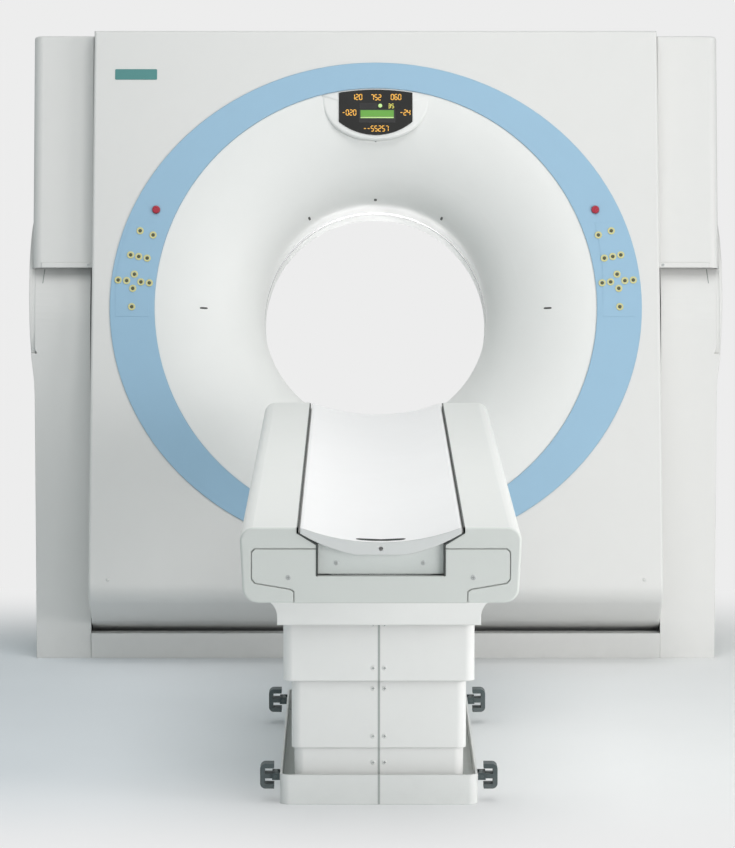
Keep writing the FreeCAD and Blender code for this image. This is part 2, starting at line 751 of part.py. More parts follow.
# ---------------------------------------------------------------- drive belt round the rim and the pulley
def belt_loop(gap):
    """Outline round both wheels at a distance gap from them, on tangent lines."""
    large = S["DrumRadius"] + gap
    small = S["PulleyRadius"] + gap
    spread = S["MotorOut"] * math.sqrt(2)
    cosine = (large - small) / spread
    sine = root(1 - cosine * cosine)
    half = math.sqrt(0.5)
    upper = ((cosine + sine) * half, (sine - cosine) * half)
    lower = ((cosine - sine) * half, (-sine - cosine) * half)
    return [
        (MOTOR_X + small * lower[0], MOTOR_Z + small * lower[1]),
        (MOTOR_X + small * upper[0], MOTOR_Z + small * upper[1], small, 1),
        (large * upper[0], large * upper[1]),
        (-large * half, large * half, large, 1),
        (large * lower[0], large * lower[1], large, 1),
    ]


drum_low = S["DrumFront"]
drum_high = S["DrumFront"] + S["DrumThick"]
run = S["RunGap"]
belt_outer = belt_loop(run + S["BeltThick"])
belt_inner = belt_loop(run)
named(
    prism("DriveBelt", "XZ_Plane", drum_low + 5, S["DrumThick"] - 10, [belt_outer, belt_inner]),
    "drive_belt",
    True,
)

pulley_wheel = rod("PulleyWheel", "y", (MOTOR_X, MOTOR_Z), S["PulleyRadius"], drum_low, drum_high)
pulley_shaft = rod("PulleyShaft", "y", (MOTOR_X, MOTOR_Z), 14, drum_low, frame_high + 55)
named(fuse("MotorPulley", pulley_wheel, pulley_shaft), "motor_pulley", True)

# ---------------------------------------------------------------- rotor
hub_outer = S["BearingInner"] - run
hub_inner = S["BearingInner"] - 40
drum_outline = [
    (S["DrumBore"], drum_low),
    (S["DrumRadius"], drum_low),
    (S["DrumRadius"], drum_high),
    (hub_outer, drum_high),
    (hub_outer, frame_high),
    (hub_inner, frame_high),
    (hub_inner, drum_high),
    (S["DrumBore"], drum_high),
]
named(turned("RotorDrum", drum_outline), "rotor_drum", True)

TUBE_Z = S["FocusHeight"] + 90
tube_body = rod("TubeBody", "y", (0, TUBE_Z), 95, -210, drum_low - 0.3)
tube_neck = rod("TubeNeck", "z", (0, -40), 30, S["FocusHeight"] - 5.7, TUBE_Z)
named(fuse("XrayTube", tube_body, tube_neck), "xray_tube", True)

collimator_block = box("CollimatorBlock", (-100, 100), (-90, drum_low - 0.3), (485, S["FocusHeight"] - 6))
collimator_slit = box("CollimatorSlit", (-60, 60), (-52, -28), (400, 700))
named(cut("Collimator", collimator_block, collimator_slit), "collimator", True)

half = S["DetectorHalf"]
near = S["DetectorRadius"]
far = near + S["DetectorThick"]
scale = far / near
drop = S["FocusHeight"] - root(near * near - half * half)
drop_far = S["FocusHeight"] - root(near * near - half * half) * scale
detector_outline = [
    (-half * scale, drop_far),
    (half * scale, drop_far, far, 1),
    (half, drop),
    (-half, drop, near, -1),
]
named(prism("Detector", "XZ_Plane", -100, drum_low + 99.7, [detector_outline]), "detector", True)

generator = box("GeneratorBox", (-690, -430), (-190, drum_low - 0.3), (-150, 200))
generator_lid = box("GeneratorLid", (-680, -440), (-196, -190), (-140, 190))
named(fuse("Generator", generator, generator_lid), "hv_generator", True)
cooler = box("CoolerBox", (430, 690), (-150, drum_low - 0.3), (-100, 200))
cooler_fan = rod("CoolerFan", "y", (560, 50), 100, -190, -150)
named(fuse("Cooler", cooler, cooler_fan), "cooling_unit", True)

slip_outline = [
    (S["DrumBore"] + 40, frame_high - 20),
    (hub_inner - S["SlideGap"], frame_high - 20),
    (hub_inner - S["SlideGap"], frame_high),
    (S["DrumBore"] + 40, frame_high),
]
named(turned("SlipRing", slip_outline), "slip_ring", True)


# ---------------------------------------------------------------- gantry base
def tangent(foot, height, radius):
    """Where a line from a foot point touches the round top, from the pivot: sideways and up."""
    square = foot * foot + height * height
    reach = root(square - radius * radius)
    cosine = (foot * radius + height * reach) / square
    sine = (foot * reach - height * radius) / square
    return radius * cosine, radius * sine


def teardrop(front, rear, radius, low):
    """Side outline of a tower or its cover: two feet and a round top about the pivot."""
    pivot = S["IsoHeight"]
    out_front, up_front = tangent(as_size(front), pivot, as_size(radius))
    out_rear, up_rear = tangent(as_size(rear), pivot, as_size(radius))
    return [
        (-as_size(front), low),
        (rear, low),
        (out_rear, pivot + up_rear),
        (0, pivot + radius, radius, 1),
        (-out_front, pivot + up_front, radius, 1),
    ]


tower_front = S["FootFront"] - 80
tower_rear = S["FootRear"] - 60
tower_in = S["StandIn"]
tower_out = S["StandOut"]
plate = S["PlateThick"]
WEB = 12
RIM = 15
PIVOT = S["IsoHeight"]
tower = prism("Tower", "YZ_Plane", tower_in, tower_out - tower_in, [
    teardrop(tower_front, tower_rear, S["StandTop"], 0)
])
tower_space = prism("TowerSpace", "YZ_Plane", tower_in + WEB, tower_out - tower_in, [
    teardrop(tower_front - RIM, tower_rear - RIM, S["StandTop"] - RIM, plate + RIM)
])
tower_shell = cut("TowerShell", tower, tower_space)
boss = rod("BearingBoss", "x", (0, PIVOT), S["PivotBearing"] + 20, tower_in + 5, tower_in + 85)
tower_full = fuse("TowerFull", tower_shell, boss)
tower_twin = mirrored("TowerTwin", tower_full)
floor_plate = box(
    "FloorPlate", (-tower_out, tower_out), (-S["FootFront"] + 60, S["FootRear"] - 20), (0, plate)
)
side_rest = S["StandCoverOut"] - S["StandTaper"] - NEAR_COVER
rest_bar = box("RestBar", (-side_rest, side_rest), (-60, 60), (0, plate))
base_cuts = []
for sign, tag in ((1, "R"), (-1, "L")):
    span = (100, 860) if sign > 0 else (-860, -100)
    base_cuts.append(box(f"FloorWindow{tag}", span, (-260, 400), (-10, plate + 10)))
    bearing_in = (tower_in + 25) * sign
    bearing_end = (tower_in + 100) * sign
    span = (bearing_in, bearing_end) if sign > 0 else (bearing_end, bearing_in)
    base_cuts.append(rod(f"BearingSeat{tag}", "x", (0, PIVOT), S["PivotBearing"], span[0], span[1]))
    span = (tower_in - 50, tower_in + 60) if sign > 0 else (-tower_in - 60, -tower_in + 50)
    base_cuts.append(rod(f"ShaftPass{tag}", "x", (0, PIVOT), S["ShaftRadius"] + 15, span[0], span[1]))
    for along, mark in ((-S["AnchorNear"], "N"), (S["AnchorFar"], "F")):
        centre = (S["AnchorX"] * sign, along)
        base_cuts.append(rod(f"Anchor{tag}{mark}", "z", centre, S["AnchorRadius"], -10, plate + RIM + 10))
base_solid = fuse("BaseSolid", floor_plate, rest_bar, tower_full, tower_twin)
named(cut("BaseFrame", base_solid, *base_cuts), "base_frame")

bearing_ring = rod("BearingRing", "x", (0, PIVOT), S["PivotBearing"], tower_in + 25, tower_in + 70)
bearing_hole = rod(
    "BearingHole", "x", (0, PIVOT), S["ShaftRadius"] + S["ShaftFit"], tower_in - 10, tower_in + 110
)
pair("pivot_bearing", cut("PivotBearingRing", bearing_ring, bearing_hole))

gear_low = tower_in + 85 + S["SlideGap"]
gear_case = box("GearCase", (gear_low, tower_out), (-120, 120), (PIVOT - 130, PIVOT + 150))
gear_motor = rod("GearMotor", "z", (gear_low + 25, 60), 24, PIVOT - 330, PIVOT - 120)
gear_hole = rod("GearHole", "x", (0, PIVOT), S["ShaftRadius"] + 5, gear_low - 10, gear_low + 30)
named(cut("TiltGearbox", fuse("GearBody", gear_case, gear_motor), gear_hole), "tilt_gearbox")

# Stand covers: a round-topped shell, wider below the slot, with an outer ear beside the slot.
wall = S["CoverWall"]
cover_in = S["StandCoverIn"]
cover_out = S["StandCoverOut"]
slot_in = S["SlotIn"]
slot_floor = S["SlotFloor"]
stand_full = teardrop(S["FootFront"], S["FootRear"], S["StandCover"], 0)
stand_inner = teardrop(S["FootFront"] - wall, S["FootRear"] - wall, S["StandCover"] - wall, -10)
stand_upper = prism("StandUpper", "YZ_Plane", cover_in, slot_in - cover_in, [stand_full])
stand_wide = prism("StandWide", "YZ_Plane", slot_in - 10, cover_out - slot_in + 10, [stand_full])
cover_low = cover_out - S["StandTaper"]


def taper_outline(inset):
    """Front outline of the wide lower part, which narrows towards the floor."""
    deep = 0 if inset == 0 else -20
    return [
        (slot_in - 40, deep),
        (cover_low - inset, deep),
        (cover_out - inset, slot_floor - inset),
        (slot_in - 40, slot_floor - inset),
    ]


stand_below = prism("StandBelow", "XZ_Plane", -900, as_size(1800), [taper_outline(0)])
stand_lower = common("StandLower", stand_wide, stand_below)
ear_round = rod("EarRound", "x", (0, PIVOT), S["EarRadius"], cover_out - S["EarThick"], cover_out)
ear_above = box("EarAbove", (slot_in, cover_out + 10), (-900, 900), (slot_floor - 5, 2000))
ear = common("StandEar", ear_round, ear_above)
stand_hollow = prism(
    "StandHollow", "YZ_Plane", cover_in - 30, slot_in - wall - cover_in + 30, [stand_inner]
)
stand_hollow_wide = prism(
    "StandHollowWide", "YZ_Plane", slot_in - wall - 10, cover_out - slot_in + 10, [stand_inner]
)
stand_below_in = prism("StandBelowIn", "XZ_Plane", -900, as_size(1800), [taper_outline(wall)])
stand_lower_in = common("StandLowerIn", stand_hollow_wide, stand_below_in)
stand_cover = cut(
    "StandCover", fuse("StandOuter", stand_upper, stand_lower, ear), stand_hollow, stand_lower_in
)
pair("stand_cover", stand_cover)

front_half = cover_in - S["SlideGap"]
base_cover = box(
    "BaseCoverOuter",
    (-front_half, front_half),
    (-S["FootFront"], -S["FootFront"] + 50),
    (0, S["BaseCoverHigh"]),
)
base_cover_in = box(
    "BaseCoverInner",
    (-front_half + wall, front_half - wall),
    (-S["FootFront"] + wall, -S["FootFront"] + 50 - wall),
    (-10, S["BaseCoverHigh"] - wall),
)
named(cut("BaseFrontCover", base_cover, base_cover_in), "base_front_cover")

duct_far = -S["FootFront"] - S["SlideGap"]
duct_near = -S["PedFar"] + S["SlideGap"]
duct = box("DuctOuter", (-S["DuctHalf"], S["DuctHalf"]), (duct_near, duct_far), (0, S["DuctHigh"]))
duct_in = box(
    "DuctInner",
    (-S["DuctHalf"] + 3, S["DuctHalf"] - 3),
    (duct_near - 10, duct_far + 10),
    (-10, S["DuctHigh"] - 3),
)
named(cut("CableDuct", duct, duct_in), "cable_duct")


# ---------------------------------------------------------------- table pedestal
def shroud(name, half_width, low, high, wall_thick, setback=None):
    """Right half of a telescoping shroud: a C in plan with round upright corners."""
    step = S["FootHalf"] - half_width if setback is None else setback
    near_y = -S["PedNear"] + step
    far_y = -S["PedFar"] - step
    corner = S["ShroudCorner"]
    seam = S["SplitGap"]
    inner = corner - wall_thick
    outline = [
        (seam, near_y),
        (half_width - corner, near_y),
        (half_width, near_y + corner, corner, 1),
        (half_width, far_y - corner),
        (half_width - corner, far_y, corner, 1),
        (seam, far_y),
        (seam, far_y - wall_thick),
        (half_width - corner, far_y - wall_thick),
        (half_width - wall_thick, far_y - corner, inner, -1),
        (half_width - wall_thick, near_y + corner),
        (half_width - corner, near_y + wall_thick, inner, -1),
        (seam, near_y + wall_thick),
    ]
    return prism(name, "XY_Plane", low, as_size(high) - low, [outline])


thin = S["ShroudWall"]
FOOT_PLATE = 20
foot_reach = S["FootHalf"] - thin - S["SlideGap"]
foot_plate = box(
    "FootPlate",
    (-foot_reach, foot_reach),
    (-S["PedNear"] + thin + S["SlideGap"] + 20, -S["PedFar"] - thin - S["SlideGap"] - 20),
    (0, FOOT_PLATE),
)
TABLE_ANCHOR_X = 180
TABLE_ANCHOR_Y = 560
COLUMN_Y = -(S["PedNear"] + S["PedFar"]) / 2
foot_holes = [
    rod(
        f"TableAnchor{i}",
        "z",
        (TABLE_ANCHOR_X * sx, COLUMN_Y + TABLE_ANCHOR_Y * sy),
        S["AnchorRadius"],
        -10,
        FOOT_PLATE + 10,
    )
    for i, (sx, sy) in enumerate(((1, 1), (1, -1), (-1, 1), (-1, -1)))
]
named(cut("TableFoot", foot_plate, *foot_holes), "table_foot")

# Ears for the foot pedals stand on the outside of the foot cover.
PEDAL_X = S["FootHalf"] + 12
PEDAL_Z = S["PedalPivot"]
EAR = 6
PIN = 4
pedal_half = S["PedalWide"] / 2
foot_shell = shroud("FootShell", S["FootHalf"], 0, S["FootHigh"], thin)
foot_lip = shroud("FootLip", S["FootHalf"], S["FootHigh"] - thin, S["FootHigh"], thin + 2.5)
foot_bits = [foot_shell, foot_lip]
pin_holes = []
for place, tag in ((S["PedalNear"], "N"), (S["PedalFar"], "F")):
    for sign, mark in ((1, "A"), (-1, "B")):
        start = -place + (pedal_half + 0.5) * sign
        end = start + EAR * sign
        span = (start, end) if sign > 0 else (end, start)
        foot_bits.append(
            box(f"PedalEar{tag}{mark}", (S["FootHalf"] - 2, PEDAL_X + 9), span, (PEDAL_Z - 9, PEDAL_Z + 9))
        )
    reach = pedal_half + EAR + 10
    pin_holes.append(
        rod(f"PinHole{tag}", "y", (PEDAL_X, PEDAL_Z), PIN + S["ShaftFit"], -place - reach, -place + reach)
    )
pair("foot_cover", cut("FootCover", fuse("FootCoverBits", *foot_bits), *pin_holes))


def pedal(name, place):
    """An E-shaped foot lever, open towards the pedestal, on a pin through both ears."""
    spine_out = PEDAL_X + S["PedalReach"]
    spine_in = spine_out - 12
    tip = PEDAL_X + 4
    low = PEDAL_Z - 33
    high = PEDAL_Z + 32
    outline = [
        (tip, low),
        (spine_out - 14, low),
        (spine_out, low + 14, 14, 1),
        (spine_out, high - 14),
        (spine_out - 14, high, 14, 1),
        (tip, high),
        (tip, high - 12),
        (spine_in, high - 12),
        (spine_in, PEDAL_Z + 6),
        (PEDAL_X, PEDAL_Z + 6),
        (PEDAL_X, PEDAL_Z - 6),
        (spine_in, PEDAL_Z - 6),
        (spine_in, low + 12),
        (tip, low + 12),
    ]
    y_low = -place - pedal_half
    bar = prism(name + "Bar", "XZ_Plane", y_low, S["PedalWide"], [outline])
    hub = rod(name + "Hub", "y", (PEDAL_X, PEDAL_Z), 9, y_low, -place + pedal_half)
    over = pedal_half + EAR + 0.5
    pin = rod(name + "Pin", "y", (PEDAL_X, PEDAL_Z), PIN, -place - over, -place + over)
    return fuse(name, bar, hub, pin)


pair("pedal_near", pedal("PedalNear", S["PedalNear"]))
pair("pedal_far", pedal("PedalFar", S["PedalFar"]))

pair("collar", shroud("Collar", S["CollarHalf"], FOOT_PLATE, S["CollarTop"], thin))
pair("shroud_middle", shroud("ShroudMiddle", S["MiddleHalf"], S["MiddleFoot"], S["MiddleTop"], thin))
pair("shroud_upper", shroud("ShroudUpper", S["ShroudHalf"], S["ShroudFoot"], S["BellyRoof"], thin))


def column_stage(name, half_width, half_long, low, high):
    """A square tube of the lifting column."""
    tube = S["ColumnWall"]

    def plan(inset):
        a = half_width - inset
        b = half_long - inset
        return [(-a, COLUMN_Y - b), (a, COLUMN_Y - b), (a, COLUMN_Y + b), (-a, COLUMN_Y + b)]

    return prism(name, "XY_Plane", low, as_size(high) - low, [plan(0), plan(tube)])


stage = S["ColumnWall"] + S["ColumnGap"]
long_half = S["ColumnLong"] / 2
mid_half = S["ColumnHalf"] - stage
inner_half = mid_half - stage
mid_low = S["MiddleFoot"] + 4
column_outer = column_stage("ColumnOuter", S["ColumnHalf"], long_half, FOOT_PLATE, S["ColumnHigh"])
named(column_outer, "column_outer")
mid_tube = column_stage("ColumnMidTube", mid_half, long_half - stage, mid_low, S["MiddleTop"] + 6)
mid_reach = S["MiddleHalf"] - thin - S["SlideGap"]
mid_bars = []
for sign, tag in ((1, "R"), (-1, "L")):
    span = (mid_half - 2, mid_reach) if sign > 0 else (-mid_reach, -mid_half + 2)
    mid_bars.append(
        box(f"MidBar{tag}", span, (COLUMN_Y - 60, COLUMN_Y + 60), (S["MiddleTop"] - 7, S["MiddleTop"]))
    )
named(fuse("ColumnMiddle", mid_tube, *mid_bars), "column_middle")
inner_low = S["ShroudFoot"] - 8
column_inner = column_stage("ColumnInner", inner_half, long_half - stage - stage, inner_low, S["BellyRoof"])
named(column_inner, "column_inner")

# ---------------------------------------------------------------- table belly, body and end panel
TABLE_LOW = S["TableTop"] - S["TableHigh"]
belly_half = S["BellyHalf"]
flare_half = S["TableHalf"] - S["FlareIn"]
flare_wide = flare_half - belly_half
flare_high = S["FlareTop"] - S["FlareFoot"]
flare_round = root(flare_wide * flare_wide + flare_high * flare_high)
belly_outline = [
    (-belly_half, S["BellyFoot"]),
    (belly_half, S["BellyFoot"]),
    (belly_half, S["FlareFoot"]),
    (flare_half, S["FlareTop"], flare_round, -1),
    (flare_half, TABLE_LOW),
    (-flare_half, TABLE_LOW),
    (-flare_half, S["FlareTop"]),
    (-belly_half, S["FlareFoot"], flare_round, -1),
]
belly_near = -S["PedNear"] - 40
belly_far = -S["PedFar"] + 40
belly_block = prism("BellyBlock", "XZ_Plane", belly_near, belly_far - belly_near, [belly_outline])
belly_space = box(
    "BellySpace",
    (-belly_half + 5, belly_half - 5),
    (belly_near + 5, belly_far - 5),
    (S["BellyFoot"] - 10, S["BellyRoof"]),
)
named(cut("TableBelly", belly_block, belly_space), "table_belly")


def table_outline(inset):
    """Cross section of the table body, smaller all round by inset, with the cradle channel."""
    half_width = S["TableHalf"] - inset
    top = S["TableTop"] - inset
    low = TABLE_LOW + inset
    wide = S["ChannelHalf"] + inset
    deep = S["SlotHalf"] + inset
    step_high = S["TableTop"] - 14 - inset
    step_low = S["TableTop"] - S["SlotTop"] - 4 - inset
    floor = S["TableTop"] - S["SlotDepth"] - inset
    right = [
        (half_width - 42, low),
        (half_width - 6, low + 28, 38, 1),
        (half_width, top - 30),
        (half_width - 30, top, 34, 1),
        (wide, top),
        (wide, step_high),
        (deep, step_low),
        (deep, floor),
    ]
    left = []
    for index in range(len(right) - 1, -1, -1):
        u, v = right[index][0], right[index][1]
        after = right[index + 1] if index + 1 < len(right) else None
        if after is not None and len(after) == 4:
            left.append((-u, v, after[2], after[3]))
        else:
            left.append((-u, v))
    return right + left


body_near = -S["TableNear"]
body_far = -S["TableFar"]
body_long = body_far - body_near
thick = S["TableWall"]
body_block = prism("TableBlock", "XZ_Plane", body_near, body_long, [table_outline(as_size(0))])
body_outer = rounded(
    "TableOuter",
    body_block,
    Size(6, "6.0"),
    lambda edge: edge.BoundBox.YMax < body_near.value + 0.1 and abs(edge.CenterOfMass.x) > 240,
)
body_space = prism("TableSpace", "XZ_Plane", body_near + 20, body_long - 25, [table_outline(thick)])


def panel_shape(grow):
    """The end panel, or its recess when it is grown by the seam."""
    top = S["TableTop"]
    u_low = S["SlotHalf"] - grow
    u_floor = top - S["SlotDepth"] - (1 if grow == 0 else -1)
    low = TABLE_LOW - grow
    right = [
        (204 + grow, low),
        (204 + grow, top - 152 - grow),
        (213 + grow, top - 146 - grow),
        (296 + grow, top - 132 - grow),
        (304 + grow, top - 122 - grow),
        (304 + grow, top - 60 + grow),
        (296 + grow, top - 52 + grow),
        (u_low, top - 52 + grow),
        (u_low, u_floor),
    ]
    return right + [(-u, v) for u, v in reversed(right)]


panel_back = body_near + S["PanelDeep"]
recess = prism("PanelRecess", "XZ_Plane", body_near - 5, S["PanelDeep"] + 5, [panel_shape(S["SeamGap"])])
named(cut("TableBody", body_outer, body_space, recess), "table_body")
named(prism("EndPanel", "XZ_Plane", body_near, S["PanelDeep"], [panel_shape(as_size(0))]), "end_panel")

# ---------------------------------------------------------------- cradle and its drive
channel_floor = S["TableTop"] - S["SlotDepth"]
rail_top = channel_floor + S["RailHigh"]
RAIL_X = 110
rails = []
for sign, tag in ((1, "R"), (-1, "L")):
    span = (RAIL_X * sign - 10, RAIL_X * sign + 10)
    rails.append(box(f"Rail{tag}", span, (body_near + 30, body_far - 5), (channel_floor, rail_top)))
rail_tie = box(
    "RailTie", (-RAIL_X, RAIL_X), (body_near + 30, body_near + 60), (channel_floor, channel_floor + 6)
)
named(fuse("CradleRails", *rails, rail_tie), "cradle_rails")

table_floor = TABLE_LOW + thick
motor_foot = box(
    "FeedMotorFoot", (-25, 25), (body_near + 150, body_near + 300), (table_floor, table_floor + 20)
)
motor_case = rod(
    "FeedMotorCase", "y", (0, table_floor + 25), 23, body_near + 140, body_near + 330
)
named(fuse("FeedMotor", motor_foot, motor_case), "feed_motor")

edge_top = S["TableTop"] - 2
sag = S["CradleSag"]
lying_half = S["CradleHalf"] - 7
lying_arc = (lying_half * lying_half + sag * sag) / (sag * 2)
keel = edge_top - S["CradleDeep"] + 2
cradle_outline = [
    (S["KeelHalf"], keel),
    (S["CradleHalf"], edge_top - 12, 400, 1),
    (S["CradleHalf"], edge_top),
    (lying_half, edge_top),
    (-lying_half, edge_top, lying_arc, -1),
    (-S["CradleHalf"], edge_top),
    (-S["CradleHalf"], edge_top - 12),
    (-S["KeelHalf"], keel, 400, 1),
]
cradle_near = body_near - S["CradleLip"]
cradle_long = body_far - 10 - cradle_near
cradle_block = prism("CradleBlock", "XZ_Plane", cradle_near, cradle_long, [cradle_outline])
cradle_hole = rod("CradleHole", "y", (0, keel + 15), 5, cradle_near - 5, cradle_near + 20)
grip_near = cradle_near + 28
grip_far = grip_near + 22
grip_bits = [box("GripSlot", (-45, 45), (grip_near, grip_far), (keel - 10, edge_top + 10))]
for sign, tag in ((1, "R"), (-1, "L")):
    grip_end = (45 * sign, (grip_near + grip_far) / 2)
    grip_bits.append(rod(f"GripEnd{tag}", "z", grip_end, 11, keel - 10, edge_top + 10))
named(cut("Cradle", cradle_block, cradle_hole, *grip_bits), "cradle")

carriage_low = rail_top + S["SlideGap"]
carriage_y = (body_near + 300, body_near + 1000)
carriage_deck = box("CarriageDeck", (-138, 138), carriage_y, (carriage_low, keel))
carriage_bits = [carriage_deck]
for sign, tag in ((1, "R"), (-1, "L")):
    span = (RAIL_X + 10.5, 138) if sign > 0 else (-138, -RAIL_X - 10.5)
    carriage_bits.append(box(f"CarriageLip{tag}", span, carriage_y, (channel_floor + 3, carriage_low + 1)))
named(fuse("CradleCarriage", *carriage_bits), "cradle_carriage")

# ---------------------------------------------------------------- build, check and write
doc.recompute()
faults = []
for thing in doc.Objects:
    if any(word in ("Invalid", "Error") for word in thing.State):
        faults.append(f"{thing.Name} {thing.State}")
for node in NODES:
    if node.Shape.isNull() or not node.Shape.isValid():
        faults.append(f"{node.Label} has no valid shape")
if faults:
    raise RuntimeError("; ".join(faults))

os.makedirs("parts", exist_ok=True)
for node in NODES:
    node.Shape.exportStep(f"parts/{node.Label}.step")
print(len(NODES), "pieces written")
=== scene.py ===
# %% [markdown]
# # A computed tomography scanner in Blender
# A scanner is a tall ring-shaped machine, the gantry, with a narrow patient table in front of it. The shapes of the
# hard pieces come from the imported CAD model, which already stands at the right place and size. This lesson loads
# that model, sets up the camera, the lights and the floor, gives every cover, casting and skin its finish, and adds
# the small things that make it real: keys, figures on the display, marks in the funnel, screws and seals.

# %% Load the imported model
import math

import bmesh
import bpy
import numpy as np
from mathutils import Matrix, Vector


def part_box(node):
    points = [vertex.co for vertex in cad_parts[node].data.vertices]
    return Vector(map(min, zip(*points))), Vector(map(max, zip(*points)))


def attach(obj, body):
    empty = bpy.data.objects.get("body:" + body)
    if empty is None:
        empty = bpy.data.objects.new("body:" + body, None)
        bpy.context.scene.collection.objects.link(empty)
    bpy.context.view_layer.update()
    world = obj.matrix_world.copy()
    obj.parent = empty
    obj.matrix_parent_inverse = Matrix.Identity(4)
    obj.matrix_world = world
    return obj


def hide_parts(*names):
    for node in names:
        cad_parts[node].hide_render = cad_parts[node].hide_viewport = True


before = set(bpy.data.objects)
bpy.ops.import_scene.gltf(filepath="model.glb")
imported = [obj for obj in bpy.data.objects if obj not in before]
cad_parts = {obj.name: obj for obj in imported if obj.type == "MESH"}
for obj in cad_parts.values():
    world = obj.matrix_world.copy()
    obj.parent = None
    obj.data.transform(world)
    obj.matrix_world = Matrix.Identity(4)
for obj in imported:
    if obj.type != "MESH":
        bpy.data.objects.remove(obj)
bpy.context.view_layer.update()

# %% [markdown]
# The gantry leans. Its pieces are easiest to draw upright, about the centre of the bore, and then leaned back
# together. `lean` does that for any array of points, so keys and marks can be placed by plain upright sizes.

# %% Lean upright points with the gantry
MM = 0.001
TILT = math.radians(12.0)
ISO_HEIGHT = 1.01
COVER_FACE = -0.410
SIDES = (("left", -1.0), ("right", 1.0))


def lean(points):
    """Turn points (n, 3) about the X axis by the tilt, so that +Z leans towards +Y, then lift to the isocentre."""
    x, y, z = np.moveaxis(np.asarray(points, float), -1, 0)
    leaned_y = y * math.cos(TILT) + z * math.sin(TILT)
    leaned_z = ISO_HEIGHT - y * math.sin(TILT) + z * math.cos(TILT)
    return np.stack([x, leaned_y, leaned_z], axis=-1)


print("centre of the mouth:", lean([[0, COVER_FACE, 0]]).round(3).tolist())

# %% [markdown]
# The photograph was taken from far away with a long lens: the table's near end is hardly larger than it should be
# beside the gantry. The camera was found by matching measured points of the machine to their places in the picture.
# A focal length in pixels of a picture 735 wide becomes millimetres on Blender's 36 mm sensor by a plain ratio.

# %% Camera
PICTURE_WIDE, FOCAL_PIXELS, SHIFT_PIXELS, SENSOR_MM = 735, 4350.0, 8.2, 36.0
CAMERA_PLACE, LOOK_DOWN, SEES_UP_TO = (-0.0507, -13.7634, 2.245), 6.4598, 300.0
scene = bpy.context.scene
camera_data = bpy.data.cameras.new("camera")
camera_data.sensor_fit = "HORIZONTAL"
camera_data.sensor_width = SENSOR_MM
camera_data.lens = FOCAL_PIXELS / PICTURE_WIDE * SENSOR_MM
camera_data.shift_x = SHIFT_PIXELS / PICTURE_WIDE
camera_data.clip_end = SEES_UP_TO
camera = bpy.data.objects.new("camera", camera_data)
camera.location = CAMERA_PLACE
camera.rotation_euler = (math.radians(90.0 - LOOK_DOWN), 0.0, 0.0)
scene.collection.objects.link(camera)
scene.camera = camera
print("lens:", round(camera_data.lens, 2), "mm")

# %% [markdown]
# The floor is one large flat sheet. Far from the machine it fades into the plain pale background, so that no line
# shows where it ends, from whichever side the machine is seen. Only the floor near the machine takes its shadow.

# %% Floor
FLOOR_HALF, FLOOR_NEAR, FLOOR_FAR = 16.0, -20.0, 16.0


def linked_object(mesh):
    """An object at the origin that shows the mesh and has its name."""
    made = bpy.data.objects.new(mesh.name, mesh)
    scene.collection.objects.link(made)
    return made


def mesh_piece(name, points, faces, smooth=True):
    """A mesh object from an array of points (n, 3) and an array of faces (m, 3 or 4)."""
    mesh = bpy.data.meshes.new(name)
    mesh.from_pydata(np.asarray(points, float).tolist(), [], np.asarray(faces, int).tolist())
    mesh.polygons.foreach_set("use_smooth", np.full(len(mesh.polygons), smooth))
    mesh.update()
    return linked_object(mesh)


def grid_faces(rows, columns, wrap=False):
    """Quads of a grid of points numbered row by row; wrap joins the last column to the first."""
    row, column = np.meshgrid(np.arange(rows - 1), np.arange(columns if wrap else columns - 1), indexing="ij")
    here, beside = row * columns + column, row * columns + (column + 1) % columns
    return np.stack([c.ravel() for c in (here, beside, beside + columns, here + columns)], axis=1)


def flat_sheet(half_wide, near, far, steps=9):
    """Points and quads of a level sheet at height 0, from near to far in Y."""
    x, y = np.meshgrid(np.linspace(-half_wide, half_wide, steps), np.linspace(near, far, steps))
    return np.stack([x, y, np.zeros_like(x)], axis=-1).reshape(-1, 3), grid_faces(steps, steps)


floor = mesh_piece("floor", *flat_sheet(FLOOR_HALF, FLOOR_NEAR, FLOOR_FAR))
print("floor sheet:", len(floor.data.polygons), "faces")

# %% [markdown]
# Finishes are shader nodes. Most of them share a few effects, so each effect is a node group with named sockets,
# made once: `moulded_skin` gives slow colour drift, smudges and a fine orange peel; `soft_edge` finds the edges;
# `settled_dust` finds where dust lies; `drawn_lines` gives the fine parallel lines of ground or drawn metal.

# %% Helpers for nodes
def srgb(red, green, blue):
    """A colour picked as 0-255 screen values, as the linear values that shaders use."""
    share = np.array([red, green, blue]) / 255.0
    linear = np.where(share <= 0.04045, share / 12.92, ((share + 0.055) / 1.055) ** 2.4)
    return (*linear.tolist(), 1.0)


def feed(tree, inputs, values):
    """Link each socket, or write each plain value, into the input of that name or number; None is left out."""
    for key, value in values.items():
        if isinstance(value, bpy.types.NodeSocket):
            tree.links.new(value, inputs[key])
        elif value is not None:
            inputs[key].default_value = value


def add_node(tree, kind, values=None, **settings):
    """A new shader node of the tree, with attributes from settings and inputs fed from the values dictionary."""
    made = tree.nodes.new("ShaderNode" + kind)
    for key, value in settings.items():
        setattr(made, key, value)
    feed(tree, made.inputs, values or {})
    return made


